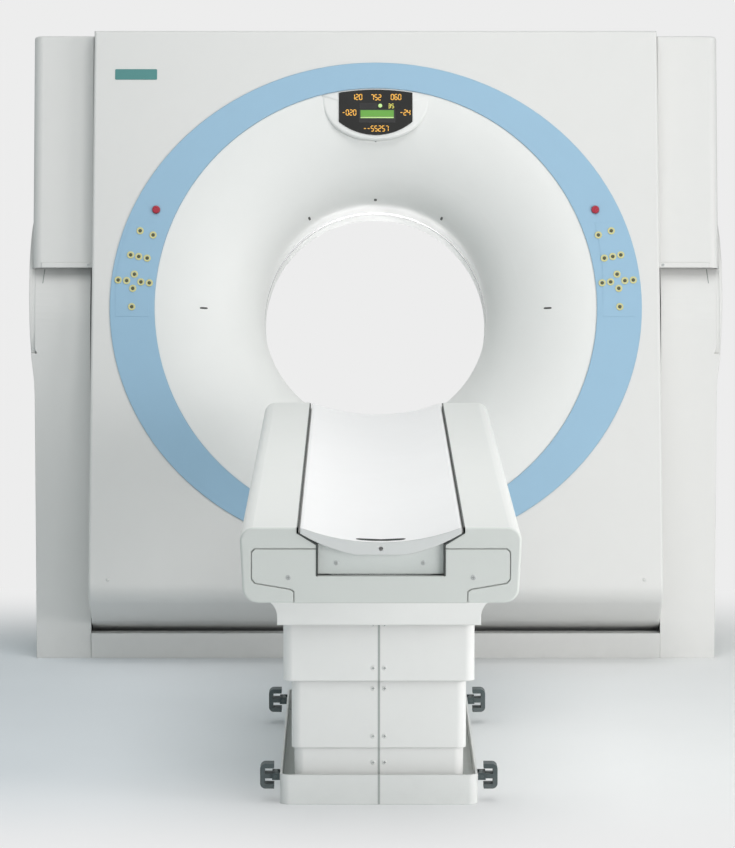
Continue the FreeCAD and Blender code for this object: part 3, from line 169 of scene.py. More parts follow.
def new_group(name, inputs, outputs):
    """A node group from {input: value} and {output: kind}; returns it, its inner inputs and its inner outputs."""
    group = bpy.data.node_groups.new(name, "ShaderNodeTree")
    for label, value in inputs.items():
        kind = {4: "Color", 3: "Vector"}[len(value)] if isinstance(value, tuple) else "Float"
        group.interface.new_socket(label, in_out="INPUT", socket_type="NodeSocket" + kind).default_value = value
    for label, kind in outputs.items():
        group.interface.new_socket(label, in_out="OUTPUT", socket_type="NodeSocket" + kind)
    return group, group.nodes.new("NodeGroupInput").outputs, group.nodes.new("NodeGroupOutput").inputs


def math_node(tree, operation, first, second=None, clamp=False):
    """The result of one arithmetic node; first and second are sockets or plain numbers."""
    return add_node(tree, "Math", {0: first, 1: second}, operation=operation, use_clamp=clamp).outputs[0]


def product(tree, first, second, clamp=False):
    """first x second."""
    return math_node(tree, "MULTIPLY", first, second, clamp)


def mix_colours(tree, factor, first, second, blend="MIX"):
    """The mix of two colours, each a socket or a plain colour, by a socket or number."""
    values = {0: factor, 6: first, 7: second}
    return add_node(tree, "Mix", values, data_type="RGBA", blend_type=blend).outputs[2]


def scaled(tree, colour, factor):
    """A colour times a factor, both sockets."""
    return add_node(tree, "VectorMath", {0: colour, "Scale": factor}, operation="SCALE").outputs[0]


def ramp(tree, value, low, high, kind="SMOOTHSTEP"):
    """0 where value is low, 1 where it is high, with soft ends unless kind is LINEAR."""
    values = {"Value": value, "From Min": low, "From Max": high}
    return add_node(tree, "MapRange", values, interpolation_type=kind).outputs[0]


def object_place(tree):
    """Object coordinates, in metres."""
    return add_node(tree, "TexCoord").outputs["Object"]


def axes(tree, vector):
    """The X, Y and Z of a vector."""
    return add_node(tree, "SeparateXYZ", {0: vector}).outputs


def noise(tree, scale, detail, vector=None, **values):
    """Noise in Object coordinates, or in the vector."""
    given = {"Vector": vector or object_place(tree), "Scale": scale, "Detail": detail, **values}
    return add_node(tree, "TexNoise", given).outputs[0]


PLAIN_WHITE = srgb(237, 237, 237)
print("plain white is", [round(c, 3) for c in PLAIN_WHITE])

# %% [markdown]
# The large covers of such a machine are moulded glass fibre or foamed plastic under a satin paint. Close up the
# paint is never quite even: it has a fine orange peel, slightly duller patches where it is wiped, and a slow drift
# in tone over each cover. The group turns one colour and three amounts into all of that.

# %% Node group: moulded and painted skin
SKIN_OUT = {"Colour": "Color", "Roughness": "Float", "Height": "Float"}


def make_moulded_skin():
    """Colour times (1 + drift x slow noise + smudge x mid noise); roughness plus mid noise; peel height."""
    group, given, result = new_group("moulded_skin", {
        "Colour": (0.8, 0.8, 0.8, 1.0), "Drift": 0.03, "Smudge": 0.015, "Roughness": 0.45, "Peel Scale": 420.0,
    }, SKIN_OUT)
    slow = math_node(group, "SUBTRACT", noise(group, 1.1, 2.0), 0.5)
    wiped = math_node(group, "SUBTRACT", noise(group, 9.0, 5.0, Roughness=0.6, Distortion=0.6), 0.5)
    both = math_node(group, "ADD", product(group, slow, given["Drift"]), product(group, wiped, given["Smudge"]))
    dull = product(group, wiped, 0.22)
    feed(group, result, {
        "Colour": scaled(group, given["Colour"], math_node(group, "ADD", both, 1.0)),
        "Roughness": math_node(group, "ADD", given["Roughness"], dull, clamp=True),
        "Height": noise(group, given["Peel Scale"], 1.5, Roughness=0.45),
    })
    return group


moulded_skin = make_moulded_skin()
print("group:", moulded_skin.name, "with", len(moulded_skin.nodes), "nodes")

# %% [markdown]
# No real edge is knife sharp, and paint is thinnest there. The Bevel node looks round a point for nearby faces and
# returns a softened normal. Its difference from the true normal is a mask of the edges, which brightens a painted
# edge a little, and the softened normal itself makes every edge catch a thin line of light.

# %% Node group: soft edges
def make_soft_edge():
    """Edge = (1 - softened normal . true normal) x strength; Normal = the softened normal."""
    group, given, result = new_group(
        "soft_edge", {"Radius": 0.004, "Strength": 3.0}, {"Edge": "Float", "Normal": "Vector"})
    soft = add_node(group, "Bevel", {"Radius": given["Radius"]}, samples=4).outputs[0]
    true = add_node(group, "NewGeometry").outputs["Normal"]
    along = add_node(group, "VectorMath", {0: soft, 1: true}, operation="DOT_PRODUCT").outputs["Value"]
    edge = product(group, math_node(group, "SUBTRACT", 1.0, along), given["Strength"], clamp=True)
    feed(group, result, {"Edge": edge, "Normal": soft})
    return group


soft_edge = make_soft_edge()
print("group:", soft_edge.name)

# %% [markdown]
# Dust lies on whatever faces up, and dirt is splashed on whatever is close to the floor, where the mop goes. One
# mask holds both: how much the surface faces up, and how near to the floor it is, broken up by noise.

# %% Node group: settled dust
def make_settled_dust():
    """Dust = noise x (up-facing share x Flat + share near the floor x Floor)."""
    group, given, result = new_group("settled_dust", {"Flat": 0.1, "Floor": 0.3, "Height": 0.12}, {"Dust": "Float"})
    facing = axes(group, add_node(group, "NewGeometry").outputs["Normal"])["Z"]
    up = product(group, math_node(group, "MAXIMUM", facing, 0.0), given["Flat"])
    share = math_node(group, "DIVIDE", axes(group, object_place(group))["Z"], given["Height"])
    low = product(group, math_node(group, "SUBTRACT", 1.0, share, clamp=True), given["Floor"])
    patches = product(group, noise(group, 26.0, 6.0, Roughness=0.65), 2.0)
    feed(group, result, {"Dust": product(group, math_node(group, "ADD", up, low), patches, clamp=True)})
    return group


settled_dust = make_settled_dust()
print("group:", settled_dust.name)

# %% [markdown]
# Bare metal shows how it was made. Drawn and ground metal has fine parallel lines, which are noise squeezed along
# one axis. The lines vary the roughness and lie in the surface as a shallow bump.

# %% Node group: drawn lines
def make_drawn_lines():
    """Noise stretched by the vector Stretch; its offset, with stains, scales the colour and adds to the roughness."""
    group, given, result = new_group("drawn_lines", {
        "Colour": (0.6, 0.6, 0.6, 1.0), "Roughness": 0.35, "Stretch": (400.0, 6.0, 400.0),
    }, SKIN_OUT)
    stretched = {0: object_place(group), 1: given["Stretch"]}
    squeezed = add_node(group, "VectorMath", stretched, operation="MULTIPLY").outputs[0]
    lines = noise(group, 1.0, 3.0, squeezed, Roughness=0.6)
    line_part = product(group, math_node(group, "SUBTRACT", lines, 0.5), 0.3)
    stain_part = product(group, math_node(group, "SUBTRACT", noise(group, 5.0, 4.0), 0.5), 0.2)
    both = math_node(group, "ADD", line_part, stain_part)
    feed(group, result, {
        "Colour": scaled(group, given["Colour"], math_node(group, "ADD", both, 1.0)),
        "Roughness": math_node(group, "ADD", given["Roughness"], both, clamp=True),
        "Height": lines,
    })
    return group


drawn_lines = make_drawn_lines()
print("group:", drawn_lines.name)

# %% [markdown]
# Painted and moulded pieces share one recipe: skin, soft edges and dust feed one Principled shader. Each finish gets
# its own numbers: how glossy, how coarse the peel, how worn the edges and how dusty the low parts.

# %% Painted and moulded finishes
EDGE_STRENGTH, METAL_WEAR = 4.0, 0.4
PAINT_RELIEF, METAL_RELIEF = 1.0 * MM, 0.5 * MM
PALE_EDGE, DUST_GREY = (0.9, 0.9, 0.9, 1.0), srgb(160, 161, 158)


def place_group(tree, group, values):
    """The outputs of one use of a node group in a material's tree, with its own socket values."""
    return add_node(tree, "Group", values, node_tree=group).outputs


def new_material(name, **sockets):
    """A node material with a Principled shader whose plain sockets are set; returns material, tree and shader."""
    material = bpy.data.materials.new(name)
    material.use_nodes = True
    shader = material.node_tree.nodes["Principled BSDF"]
    feed(material.node_tree, shader.inputs, {key.replace("_", " "): value for key, value in sockets.items()})
    return material, material.node_tree, shader


def finish_surface(tree, shader, colour, skin, rim, bump, distance):
    """Feed the shader the colour, the skin's roughness and a bump of the skin's height on the softened normal."""
    relief = {"Strength": bump, "Distance": distance, "Height": skin["Height"], "Normal": rim["Normal"]}
    normal = add_node(tree, "Bump", relief).outputs[0]
    feed(tree, shader.inputs, {"Base Color": colour, "Roughness": skin["Roughness"], "Normal": normal})


def painted(name, colour, roughness, peel=420.0, bump=0.05, drift=0.03, smudge=0.03, edge=0.004, wear=0.05,
            worn=None, dust=(0.0, 0.0), **sockets):
    """A painted or moulded finish: skin, soft edges of the worn colour, and dust; colours are 0-255 screen values."""
    material, tree, shader = new_material(name, **sockets)
    skin = place_group(tree, moulded_skin, {
        "Colour": srgb(*colour), "Drift": drift, "Smudge": smudge, "Roughness": roughness, "Peel Scale": peel})
    rim = place_group(tree, soft_edge, {"Radius": edge, "Strength": EDGE_STRENGTH})
    dirt = place_group(tree, settled_dust, {"Flat": dust[0], "Floor": dust[1]})
    with_edges = mix_colours(tree, product(tree, rim["Edge"], wear), skin["Colour"], srgb(*worn) if worn else PALE_EDGE)
    with_dust = mix_colours(tree, dirt["Dust"], with_edges, DUST_GREY)
    finish_surface(tree, shader, with_dust, skin, rim, bump, PAINT_RELIEF)
    return material


DUSTY, CLEANER = (0.06, 0.25), (0.02, 0.08)
cover_paint = painted("cover_paint", (223, 223, 221), 0.5, dust=(0.03, 0.1))
funnel_paint = painted("funnel_paint", (232, 233, 231), 0.46, drift=0.02)
ring_paint = painted("ring_paint", (152, 188, 212), 0.5, peel=600.0, smudge=0.05)
table_paint = painted("table_paint", (234, 235, 232), 0.48, dust=(0.02, 0.1))
shroud_plastic = painted("shroud_plastic", (245, 245, 243), 0.52, dust=CLEANER)
foot_plastic = painted("foot_plastic", (238, 239, 237), 0.52, dust=CLEANER)
# The foot enamel also paints the channel panel: there its grey is painted shade under the cradle's overhang.
foot_enamel_and_panel_shade = painted("foot_enamel_and_panel_shade", (222, 226, 223), 0.55, peel=160.0, bump=0.5, wear=0.2, dust=(0.02, 0.05))
cradle_skin = painted("cradle_skin", (250, 249, 249), 0.4, peel=300.0, smudge=0.05)
key_foil = painted("key_foil", (152, 188, 212), 0.48, peel=600.0, smudge=0.05, edge=0.0006, wear=0.02)
stop_plastic = painted("stop_plastic", (168, 38, 58), 0.28, peel=200.0, edge=0.001, wear=0.2)
frame_enamel = painted("frame_enamel", (112, 118, 122), 0.5, bump=0.2, wear=0.5, worn=(186, 188, 190), dust=DUSTY)
unit_enamel = painted("unit_enamel", (160, 165, 168), 0.5, peel=700.0, bump=0.3, wear=0.4, dust=DUSTY)
motor_enamel = painted("motor_enamel", (42, 43, 46), 0.45, bump=0.3, wear=0.5, worn=(150, 152, 155), dust=DUSTY)
foot_casting = painted("foot_casting", (96, 99, 102), 0.62, peel=160.0, bump=0.6, wear=0.4, dust=(0.2, 0.4))
pedal_rubber = painted("pedal_rubber", (62, 76, 78), 0.55, peel=500.0, bump=0.4, edge=0.002, wear=0.25,
                       worn=(128, 140, 140), dust=DUSTY)
duct_paint = painted("duct_paint", (206, 208, 206), 0.5, wear=0.3, dust=(0.2, 0.4))
belt_rubber = painted("belt_rubber", (38, 38, 39), 0.7, peel=900.0, bump=0.5, edge=0.001, wear=0.3,
                      worn=(90, 90, 90), dust=DUSTY)
print("painted and moulded finishes:", len(bpy.data.materials))

# %% [markdown]
# Three finishes have a second tone. The brackets of the foot levers are moulded on the pale foot cover but painted
# dark, and the near ends of the table and the cradle get painted shade: a greyer white than their tops, as their
# upright end faces take less light.

# %% Second tones and painted shade on the near ends
BRACKET_FROM, END_WALL_FROM, CRADLE_END_FROM, TONE_BLEND = 0.2568, -3.6165, -3.6235, 0.004


def repaint(material, change):
    """Put change(tree, old colour, axes of Object coordinates) in the place of the shader's colour."""
    tree = material.node_tree
    base = tree.nodes["Principled BSDF"].inputs["Base Color"]
    tree.links.new(change(tree, base.links[0].from_socket, axes(tree, object_place(tree))), base)


def dark_brackets(tree, pale, at):
    """Dark where |x| is larger than BRACKET_FROM."""
    outside = math_node(tree, "GREATER_THAN", math_node(tree, "ABSOLUTE", at["X"]), BRACKET_FROM)
    return mix_colours(tree, outside, pale, srgb(66, 78, 79))


def painted_shade_end(near_y, tone):
    """A change for repaint, painted shade: nearer than near_y the colour is multiplied by tone, over 4 mm."""
    def change(tree, pale, at):
        nearer = ramp(tree, at["Y"], near_y, near_y - TONE_BLEND, "LINEAR")
        return mix_colours(tree, nearer, pale, mix_colours(tree, 1.0, pale, tone, "MULTIPLY"))
    return change


repaint(foot_plastic, dark_brackets)
# Painted shade: the upright near ends of the table and the cradle are greyer, as they take less light.
repaint(table_paint, painted_shade_end(END_WALL_FROM, (0.89, 0.91, 0.90, 1.0)))
repaint(cradle_skin, painted_shade_end(CRADLE_END_FROM, (0.80, 0.82, 0.81, 1.0)))
print("second tones on:", foot_plastic.name, table_paint.name, cradle_skin.name)

# %% [markdown]
# Bare metals share the other recipe: drawn lines, no paint, and a metallic shader. The direction of the lines is the
# direction in which the piece was turned, drawn or ground.

# %% Bare metals, the window film and the display glass
def bare_metal(name, colour, roughness, stretch, bump=0.1, edge=0.002):
    """A metallic finish with lines drawn along the axis where stretch is small; the colour is a screen value."""
    material, tree, shader = new_material(name, Metallic=1.0)
    lines = place_group(tree, drawn_lines, {"Colour": srgb(*colour), "Roughness": roughness, "Stretch": stretch})
    rim = place_group(tree, soft_edge, {"Radius": edge, "Strength": EDGE_STRENGTH})
    bright = mix_colours(tree, product(tree, rim["Edge"], METAL_WEAR), lines["Colour"], PALE_EDGE)
    finish_surface(tree, shader, bright, lines, rim, bump, METAL_RELIEF)
    return material


ground_steel = bare_metal("ground_steel", (196, 198, 200), 0.3, (700.0, 9.0, 700.0))
machined_aluminium = bare_metal("machined_aluminium", (208, 210, 212), 0.34, (9.0, 600.0, 9.0))
anodised_aluminium = bare_metal("anodised_aluminium", (186, 189, 192), 0.42, (500.0, 500.0, 7.0))
window_film = painted("window_film", (222, 226, 226), 0.2, peel=80.0, bump=0.1, edge=0.001, dust=DUSTY,
                      Transmission_Weight=0.25)
display_glass = painted("display_glass", (22, 23, 21), 0.12, peel=60.0, bump=0.02, smudge=0.6, edge=0.0015,
                        wear=0.1)
print("metals, film and glass:", [m.name for m in (ground_steel, machined_aluminium, window_film, display_glass)])

# %% [markdown]
# Every CAD node already carries a slot of the record. One table says which finish each slot takes, so no node is
# forgotten, and a node with a better finish of its own is listed after it.

# %% Finishes of the CAD nodes
FINISH_OF_SLOT = {
    "cover_white": cover_paint, "funnel_white": funnel_paint, "ring_blue": ring_paint, "window_clear": window_film,
    "key_film": key_foil, "stop_red": stop_plastic, "display_black": display_glass, "frame_steel": frame_enamel,
    "bright_steel": ground_steel, "rotor_metal": machined_aluminium, "unit_grey": unit_enamel,
    "belt_black": belt_rubber, "motor_black": motor_enamel, "column_metal": anodised_aluminium,
    "foot_iron": foot_casting, "table_white": table_paint, "cradle_white": cradle_skin, "pedal_dark": pedal_rubber,
    "duct_metal": duct_paint,
}
FINISH_OF_NODE = {"table_foot": foot_enamel_and_panel_shade, "table_belly": shroud_plastic}
for side, _ in SIDES:
    FINISH_OF_NODE[f"foot_cover_{side}"] = foot_plastic
    for part in ("shroud_middle", "shroud_upper", "collar"):
        FINISH_OF_NODE[f"{part}_{side}"] = shroud_plastic
for name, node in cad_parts.items():
    slot_name = node.data.materials[0].name.split(".")[0]
    for place in node.material_slots:
        place.material = FINISH_OF_NODE.get(name, FINISH_OF_SLOT[slot_name])
print("nodes with a finish:", len(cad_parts))

# %% [markdown]
# The light in the photograph is soft and comes from the right and above: the right side of every cover is almost
# white and the low left is a cool grey. One large lamp on that side does much of it, a low one in front fills the
# funnel, one overhead lights the table, and a small one behind brightens the inside of the bore. The world gives an
# even, slightly cool light from everywhere.

# %% Lamps
def area_lamp(name, place, aim, size, watts, colour, spread=180.0):
    """A lamp at place that shines towards aim; size is (wide, long) in metres, spread narrows its cone in degrees."""
    data = bpy.data.lights.new(name, "AREA")
    data.shape = "RECTANGLE"
    data.size, data.size_y = size
    data.spread = math.radians(spread)
    data.energy = watts
    data.color = colour
    lamp = bpy.data.objects.new(name, data)
    lamp.location = place
    x, y, z = np.array(place, float) - np.array(aim, float)
    lamp.rotation_euler = (math.atan2(math.hypot(x, y), z), 0.0, math.atan2(y, x) + math.pi / 2)
    scene.collection.objects.link(lamp)


area_lamp("key_lamp", (5.4, -4.2, 1.5), (0.4, -0.6, 0.6), (2.2, 2.2), 104.0, (1.0, 0.965, 0.96))
area_lamp("top_lamp", (0.2, -2.9, 4.3), (0.0, -2.0, 0.3), (2.6, 3.0), 52.0, (1.0, 0.975, 0.975), 150.0)
area_lamp("front_lamp", (3.0, -7.4, 1.15), (0.0, -1.8, 0.6), (2.2, 2.2), 68.0, (1.0, 0.97, 0.97))
area_lamp("back_lamp", (0.0, 2.0, 0.1), (0.0, 0.1, 1.36), (1.0, 1.0), 15.0, (1.0, 0.98, 0.98))

# %% [markdown]
# The world lights the machine with one colour, but shows a plain pale background to whatever looks at it directly:
# the camera, a glossy reflection or a clear piece. The Light Path node tells which of them a ray is.

# %% World
AIR_COLOUR, AIR_STRENGTH = (0.81, 0.88, 0.88, 1.0), 0.50


def seen_directly(tree):
    """1 for a camera, glossy or transmission ray, else 0."""
    rays = add_node(tree, "LightPath").outputs
    either = math_node(tree, "MAXIMUM", rays["Is Camera Ray"], rays["Is Glossy Ray"])
    return math_node(tree, "MAXIMUM", either, rays["Is Transmission Ray"])


def show_mix(tree, output, share, first, second):
    """Send the mix of two shader nodes, first where share is 0 and second where it is 1, to the tree's output."""
    chosen = add_node(tree, "MixShader", {0: share, 1: first.outputs[0], 2: second.outputs[0]})
    feed(tree, tree.nodes[output].inputs, {"Surface": chosen.outputs[0]})


world = bpy.data.worlds.new("studio_air")
scene.world = world
world.use_nodes = True
air = world.node_tree
even = air.nodes["Background"]
feed(air, even.inputs, {"Color": AIR_COLOUR, "Strength": AIR_STRENGTH})
shown = add_node(air, "Background", {"Color": PLAIN_WHITE, "Strength": 1.0})
show_mix(air, "World Output", seen_directly(air), even, shown)
scene.view_settings.view_transform = "Standard"
print("world:", world.name)

# %% [markdown]
# The floor is pale, with painted shade: its colour is darker and a little cool on the left, away from the key lamp,
# and nearly white on the right. It fades into the pale background behind the machine, far in front of it and far to
# its sides. The fade only replaces what is seen directly there, so the floor keeps the machine's shadow.

# %% Floor finish
FLOOR_SHADE_X, FLOOR_LIT_X = -1.2, 0.9
FADE_BACK, FADE_NEAR, FADE_ASIDE = (-0.3, 1.0), (-2.1, -3.6), (1.9, 3.2)


def make_floor_finish():
    """Floor colour by X, with grain, lit by the lamps; beyond the machine the camera sees plain background white."""
    material, tree, shader = new_material("studio_floor", Roughness=0.8)
    at = axes(tree, object_place(tree))
    # Painted shade: the floor's colour is darker and cooler on the left, lighter on the right under the key lamp.
    colour = mix_colours(tree, ramp(tree, at["X"], FLOOR_SHADE_X, FLOOR_LIT_X), srgb(226, 231, 235), srgb(238, 239, 239))
    grain = {"Value": noise(tree, 3.0, 6.0), "To Min": 0.985, "To Max": 1.015}
    grained = scaled(tree, colour, add_node(tree, "MapRange", grain).outputs[0])
    feed(tree, shader.inputs, {"Base Color": grained})
    white = add_node(tree, "Emission", {"Color": PLAIN_WHITE, "Strength": 1.0})
    fade = math_node(tree, "MAXIMUM", ramp(tree, at["Y"], *FADE_BACK), ramp(tree, at["Y"], *FADE_NEAR))
    aside = ramp(tree, math_node(tree, "ABSOLUTE", at["X"]), *FADE_ASIDE)
    share = product(tree, seen_directly(tree), math_node(tree, "MAXIMUM", fade, aside))
    show_mix(tree, "Material Output", share, shader, white)
    return material


floor.data.materials.append(make_floor_finish())
print("floor finish:", floor.data.materials[0].name)

# %% [markdown]
# The small pieces are all made one way: a stack of closed loops of points, joined by strips of quads and closed at
# both ends by a fan. Circles make screws and domes, rounded oblongs make keys and plates, and short hexagons make
# the strokes of the figures. The signed volume says whether the faces point outwards, and turns them if not.

# %% Stacks of loops
def loop_stack(loops, ring=False):
    """Points and faces of a closed surface through loops (k, n, 3); ring joins the last loop to the first instead.

    Signed volume = sum over triangles of a . (b x c) / 6; where it is negative every face is turned round.
    """
    loops = np.asarray(loops, float)
    rows, columns = loops.shape[:2]
    points = loops.reshape(-1, 3)
    quads = grid_faces(rows + ring, columns, wrap=True) % (rows * columns)
    faces = [quads[:, [0, 1, 2]], quads[:, [0, 2, 3]]]
    if not ring:
        around = np.arange(columns)
        beside = (around + 1) % columns
        low, last_row = np.full(columns, rows * columns), (rows - 1) * columns
        faces += [np.stack([low, beside, around], axis=1)]
        faces += [np.stack([low + 1, last_row + around, last_row + beside], axis=1)]
        points = np.concatenate([points, loops[0].mean(0)[None], loops[-1].mean(0)[None]])
    faces = np.concatenate(faces)
    a, b, c = (points[faces[:, i]] - points.mean(0) for i in range(3))
    if np.einsum("ij,ij->i", a, np.cross(b, c)).sum() < 0:
        faces = faces[:, ::-1]
    return points, faces


def detail_piece(name, parts, body, finish, smooth=False):
    """A named mesh piece from (points, faces) parts, with its finish, riding on a body."""
    starts = np.cumsum([0] + [len(points) for points, _ in parts])
    points = np.concatenate([points for points, _ in parts])
    faces = np.concatenate([faces + start for start, (_, faces) in zip(starts, parts)])
    made = mesh_piece(name, points, faces, smooth=smooth)
    made.data.materials.append(finish)
    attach(made, body)
    return made


def circle_loops(profile, centre, steps=20):
    """Loops about the Y axis from profile rows (radius, y): x = cx + r cos a, z = cz + r sin a, y = cy + y."""
    turn = np.linspace(0.0, 2.0 * math.pi, steps, endpoint=False)
    radius, along = np.asarray(profile, float).T
    x = centre[0] + radius[:, None] * np.cos(turn)
    z = centre[2] + radius[:, None] * np.sin(turn)
    y = np.repeat(centre[1] + along[:, None], steps, axis=1)
    return np.stack([x, y, z], axis=-1)


def at_depth(outline, y):
    """The points of an outline (n, 2) in X and Z at a depth y, one number or one per point."""
    return np.stack([outline[:, 0], np.zeros(len(outline)) + y, outline[:, 1]], axis=1)


def plate_loops(outline, face_y, thick, chamfer=0.2 * MM):
    """Loops of a thin plate with an outline (n, 2) in X and Z: back, front edge, then an inset front at face_y."""
    outline = np.asarray(outline, float)
    ahead = np.roll(outline, -1, axis=0) - outline
    behind = outline - np.roll(outline, 1, axis=0)
    along = ahead / np.linalg.norm(ahead, axis=1)[:, None] + behind / np.linalg.norm(behind, axis=1)[:, None]
    inward = np.stack([-along[:, 1], along[:, 0]], axis=1)
    inward /= np.linalg.norm(inward, axis=1)[:, None]
    area = np.sum(outline[:, 0] * np.roll(outline[:, 1], -1) - np.roll(outline[:, 0], -1) * outline[:, 1])
    inset = outline + inward * chamfer * math.copysign(1.0, area)
    return np.stack([at_depth(outline, face_y + thick), at_depth(outline, face_y + chamfer), at_depth(inset, face_y)])


print("a stack of 3 squares has", len(loop_stack(circle_loops([(1, 0), (1, 1), (0.5, 1)], (0, 0, 0), 4))[1]), "faces")

# %% [markdown]
# Each control panel is a strip of membrane keys under a foil in the ring's own blue. A key is a pale yellow ring
# printed round a small dark dome. The CAD model has the foil and the low round key tops; the yellow rings and the
# domes are added on them as pieces of their own, a few tenths of a millimetre high, as print and embossing are.

# %% Yellow rings and dark domes
key_yellow = painted("key_yellow", (214, 208, 142), 0.45, peel=900.0, edge=0.0005, wear=0.1)
key_dark = painted("key_dark", (84, 82, 46), 0.4, peel=900.0, edge=0.0005, wear=0.1)
KEY_PLACES = np.array([
    (727, 236), (687, 223), (756, 161), (731, 156), (705, 151), (744, 101),
    (794, 83), (768, 81), (724, 77), (698, 74), (749, 57), (752, 0),
]) * MM
KEY_FACE = -415.4 * MM
ring_profile = np.array([(11.2, 0.1), (11.2, -0.25), (10.6, -0.4), (6.9, -0.4), (6.3, -0.25), (6.3, 0.1)]) * MM
dome_profile = np.array([(5.6, 0.1), (5.5, -0.15), (4.6, -0.5), (2.6, -0.8), (0.8, -0.9)]) * MM
for side, sign in SIDES:
    centres = [(sign * x, KEY_FACE, z) for x, z in KEY_PLACES]
    rings = [loop_stack(lean(circle_loops(ring_profile, centre, 28)), ring=True) for centre in centres]
    domes = [loop_stack(lean(circle_loops(dome_profile, centre, 24))) for centre in centres]
    detail_piece(f"key_rings_{side}", rings, "gantry", key_yellow, smooth=True)
    detail_piece(f"key_domes_{side}", domes, "gantry", key_dark, smooth=True)
print("keys on each side:", len(KEY_PLACES))

# %% [markdown]
# The display over the bore shows amber figures and one green line display. The figures are seven-segment ones: each
# stroke is a long hexagon. Which strokes are lit for which figure is one short table, and the figures themselves are
# plain numbers. The strokes glow, so their material has emission next to the plain colour.

# %% Strokes of the figures
STROKES = {
    "a": (0, 1, False), "b": (1, 0.5, True), "c": (1, -0.5, True), "d": (0, -1, False), "e": (-1, -0.5, True),
    "f": (-1, 0.5, True), "g": (0, 0, False),
}
LIT = {
    "0": "abcdef", "1": "bc", "2": "abdeg", "3": "abcdg", "4": "bcfg", "5": "acdfg", "6": "acdefg", "7": "abc",
    "8": "abcdefg", "9": "abcdfg", "-": "g",
}
SCREEN_FACE = -414.2 * MM
LARGE_FIGURE, SMALL_FIGURE = (7.6, 16.5, 11.4), (6.4, 12.5, 10.5)
STROKE_LENGTH, STROKE_WIDTH = 0.94, 0.14


def stroke_outline(centre, upright, length, wide):
    """A hexagon: a bar of the given length with its ends cut to points, along X or, where upright, along Z."""
    half, side = length / 2, wide / 2
    shape = np.array([
        (-half, 0), (-half + side, -side), (half - side, -side), (half, 0), (half - side, side), (-half + side, side)])
    return (shape[:, ::-1] if upright else shape) + np.asarray(centre)


def figure_strokes(text, x_mm, z_mm, size_mm=LARGE_FIGURE):
    """Lit strokes of a text centred at (x, z), as leaned loop stacks; size is (wide, high, pitch)."""
    made = []
    wide, high, pitch = np.array(size_mm) * MM
    for place, letter in enumerate(text):
        middle_x = x_mm * MM + (place - (len(text) - 1) / 2) * pitch
        for stroke in LIT[letter]:
            across, up, upright = STROKES[stroke]
            middle = (middle_x + across * wide / 2, z_mm * MM + up * high / 2)
            length = (high / 2 if upright else wide) * STROKE_LENGTH
            outline = stroke_outline(middle, upright, length, high * STROKE_WIDTH)
            made.append(loop_stack(lean(plate_loops(outline, SCREEN_FACE, 0.3 * MM, 0.1 * MM))))
    return made


def glowing(name, colour, strength):
    """A lamp-like finish: the colour, a screen value made slightly uneven, also as emission."""
    material, tree, shader = new_material(name, Roughness=0.35, Emission_Strength=strength)
    skin = place_group(
        tree, moulded_skin, {"Colour": srgb(*colour), "Drift": 0.2, "Smudge": 0.3, "Peel Scale": 900.0})
    feed(tree, shader.inputs, {"Base Color": skin["Colour"], "Emission Color": skin["Colour"]})
    return material


amber_light = glowing("amber_light", (214, 158, 62), 0.75)
yellow_light = glowing("yellow_light", (214, 206, 96), 0.8)
green_light = glowing("green_light", (84, 138, 52), 0.5)
pale_green_light = glowing("pale_green_light", (160, 194, 122), 0.6)
print("figures that can be shown:", "".join(LIT))

# %% [markdown]
# A rounded oblong is four quarter circles joined by straight lines. With a thickness it is a plate: the dark bezels
# round the line display, the lit line itself, the thin line under it, and the name plate of a later cell.

# %% Figures, line display and lamps on the display
def oblong(x_low, x_high, z_low, z_high, corner, steps=5):
    """Outline (n, 2) of an oblong with round corners: point = corner's centre + corner x (cos a, sin a)."""
    turn = np.linspace(0.0, math.pi / 2, steps) + np.arange(4)[:, None] * math.pi / 2
    x = np.array([x_high - corner, x_low + corner, x_low + corner, x_high - corner])[:, None] + corner * np.cos(turn)
    z = np.array([z_high - corner, z_high - corner, z_low + corner, z_low + corner])[:, None] + corner * np.sin(turn)
    return np.stack([x, z], axis=-1).reshape(-1, 2)


def flat_plate(box_mm, corner_mm, face_y, thick=0.4 * MM):
    """A leaned thin plate with round corners; box_mm is (x low, x high, z low, z high) in millimetres."""
    return loop_stack(lean(plate_loops(oblong(*(np.array(box_mm) * MM), corner_mm * MM), face_y, thick)))


FIGURES = (("120", -57.8, 654.0), ("752", 1.0, 653.0), ("060", 62.9, 654.0), ("-020", -82.0, 605.5),
           ("-24", 91.0, 605.5), ("--55257", 1.0, 555.4))
BEZEL_FACE, LINE_FACE = SCREEN_FACE + 0.1 * MM, SCREEN_FACE - 0.1 * MM
amber = [stroke for figure in FIGURES for stroke in figure_strokes(*figure)]
small = figure_strokes("35", 47.4, 626.0, SMALL_FIGURE)
bezels = [flat_plate((-52, 61, 574, 616), 2.0, BEZEL_FACE), flat_plate((-50, 4, 617, 636), 2.0, BEZEL_FACE)]
line = flat_plate((-47, 56, 593, 613), 1.0, LINE_FACE)
underline = flat_plate((-47, 56, 588, 592), 0.8, LINE_FACE)
lamp_profile = np.array([(6.2, 0.3), (6.2, -0.2), (5.4, -0.7), (3.2, -1.2), (1.0, -1.4)]) * MM
lamp = loop_stack(lean(circle_loops(lamp_profile, (14.0 * MM, SCREEN_FACE, 627.0 * MM), 24)))
detail_piece("display_figures", amber, "gantry", amber_light)
detail_piece("display_small_figures", small, "gantry", yellow_light)
detail_piece("display_bezels", bezels, "gantry", belt_rubber)
detail_piece("display_line", [line], "gantry", green_light)
detail_piece("display_lamp", [underline, lamp], "gantry", pale_green_light, smooth=True)
print("amber strokes:", len(amber))

# %% [markdown]
# Small dark marks lie in the funnel's wall: two short slits at the sides and small openings near the throat and
# above, where the positioning lasers shine out. They follow the curved wall, so they are patches of the funnel's own
# surface: the same two arcs that draw the funnel, turned about the bore axis, moved a little into the air.

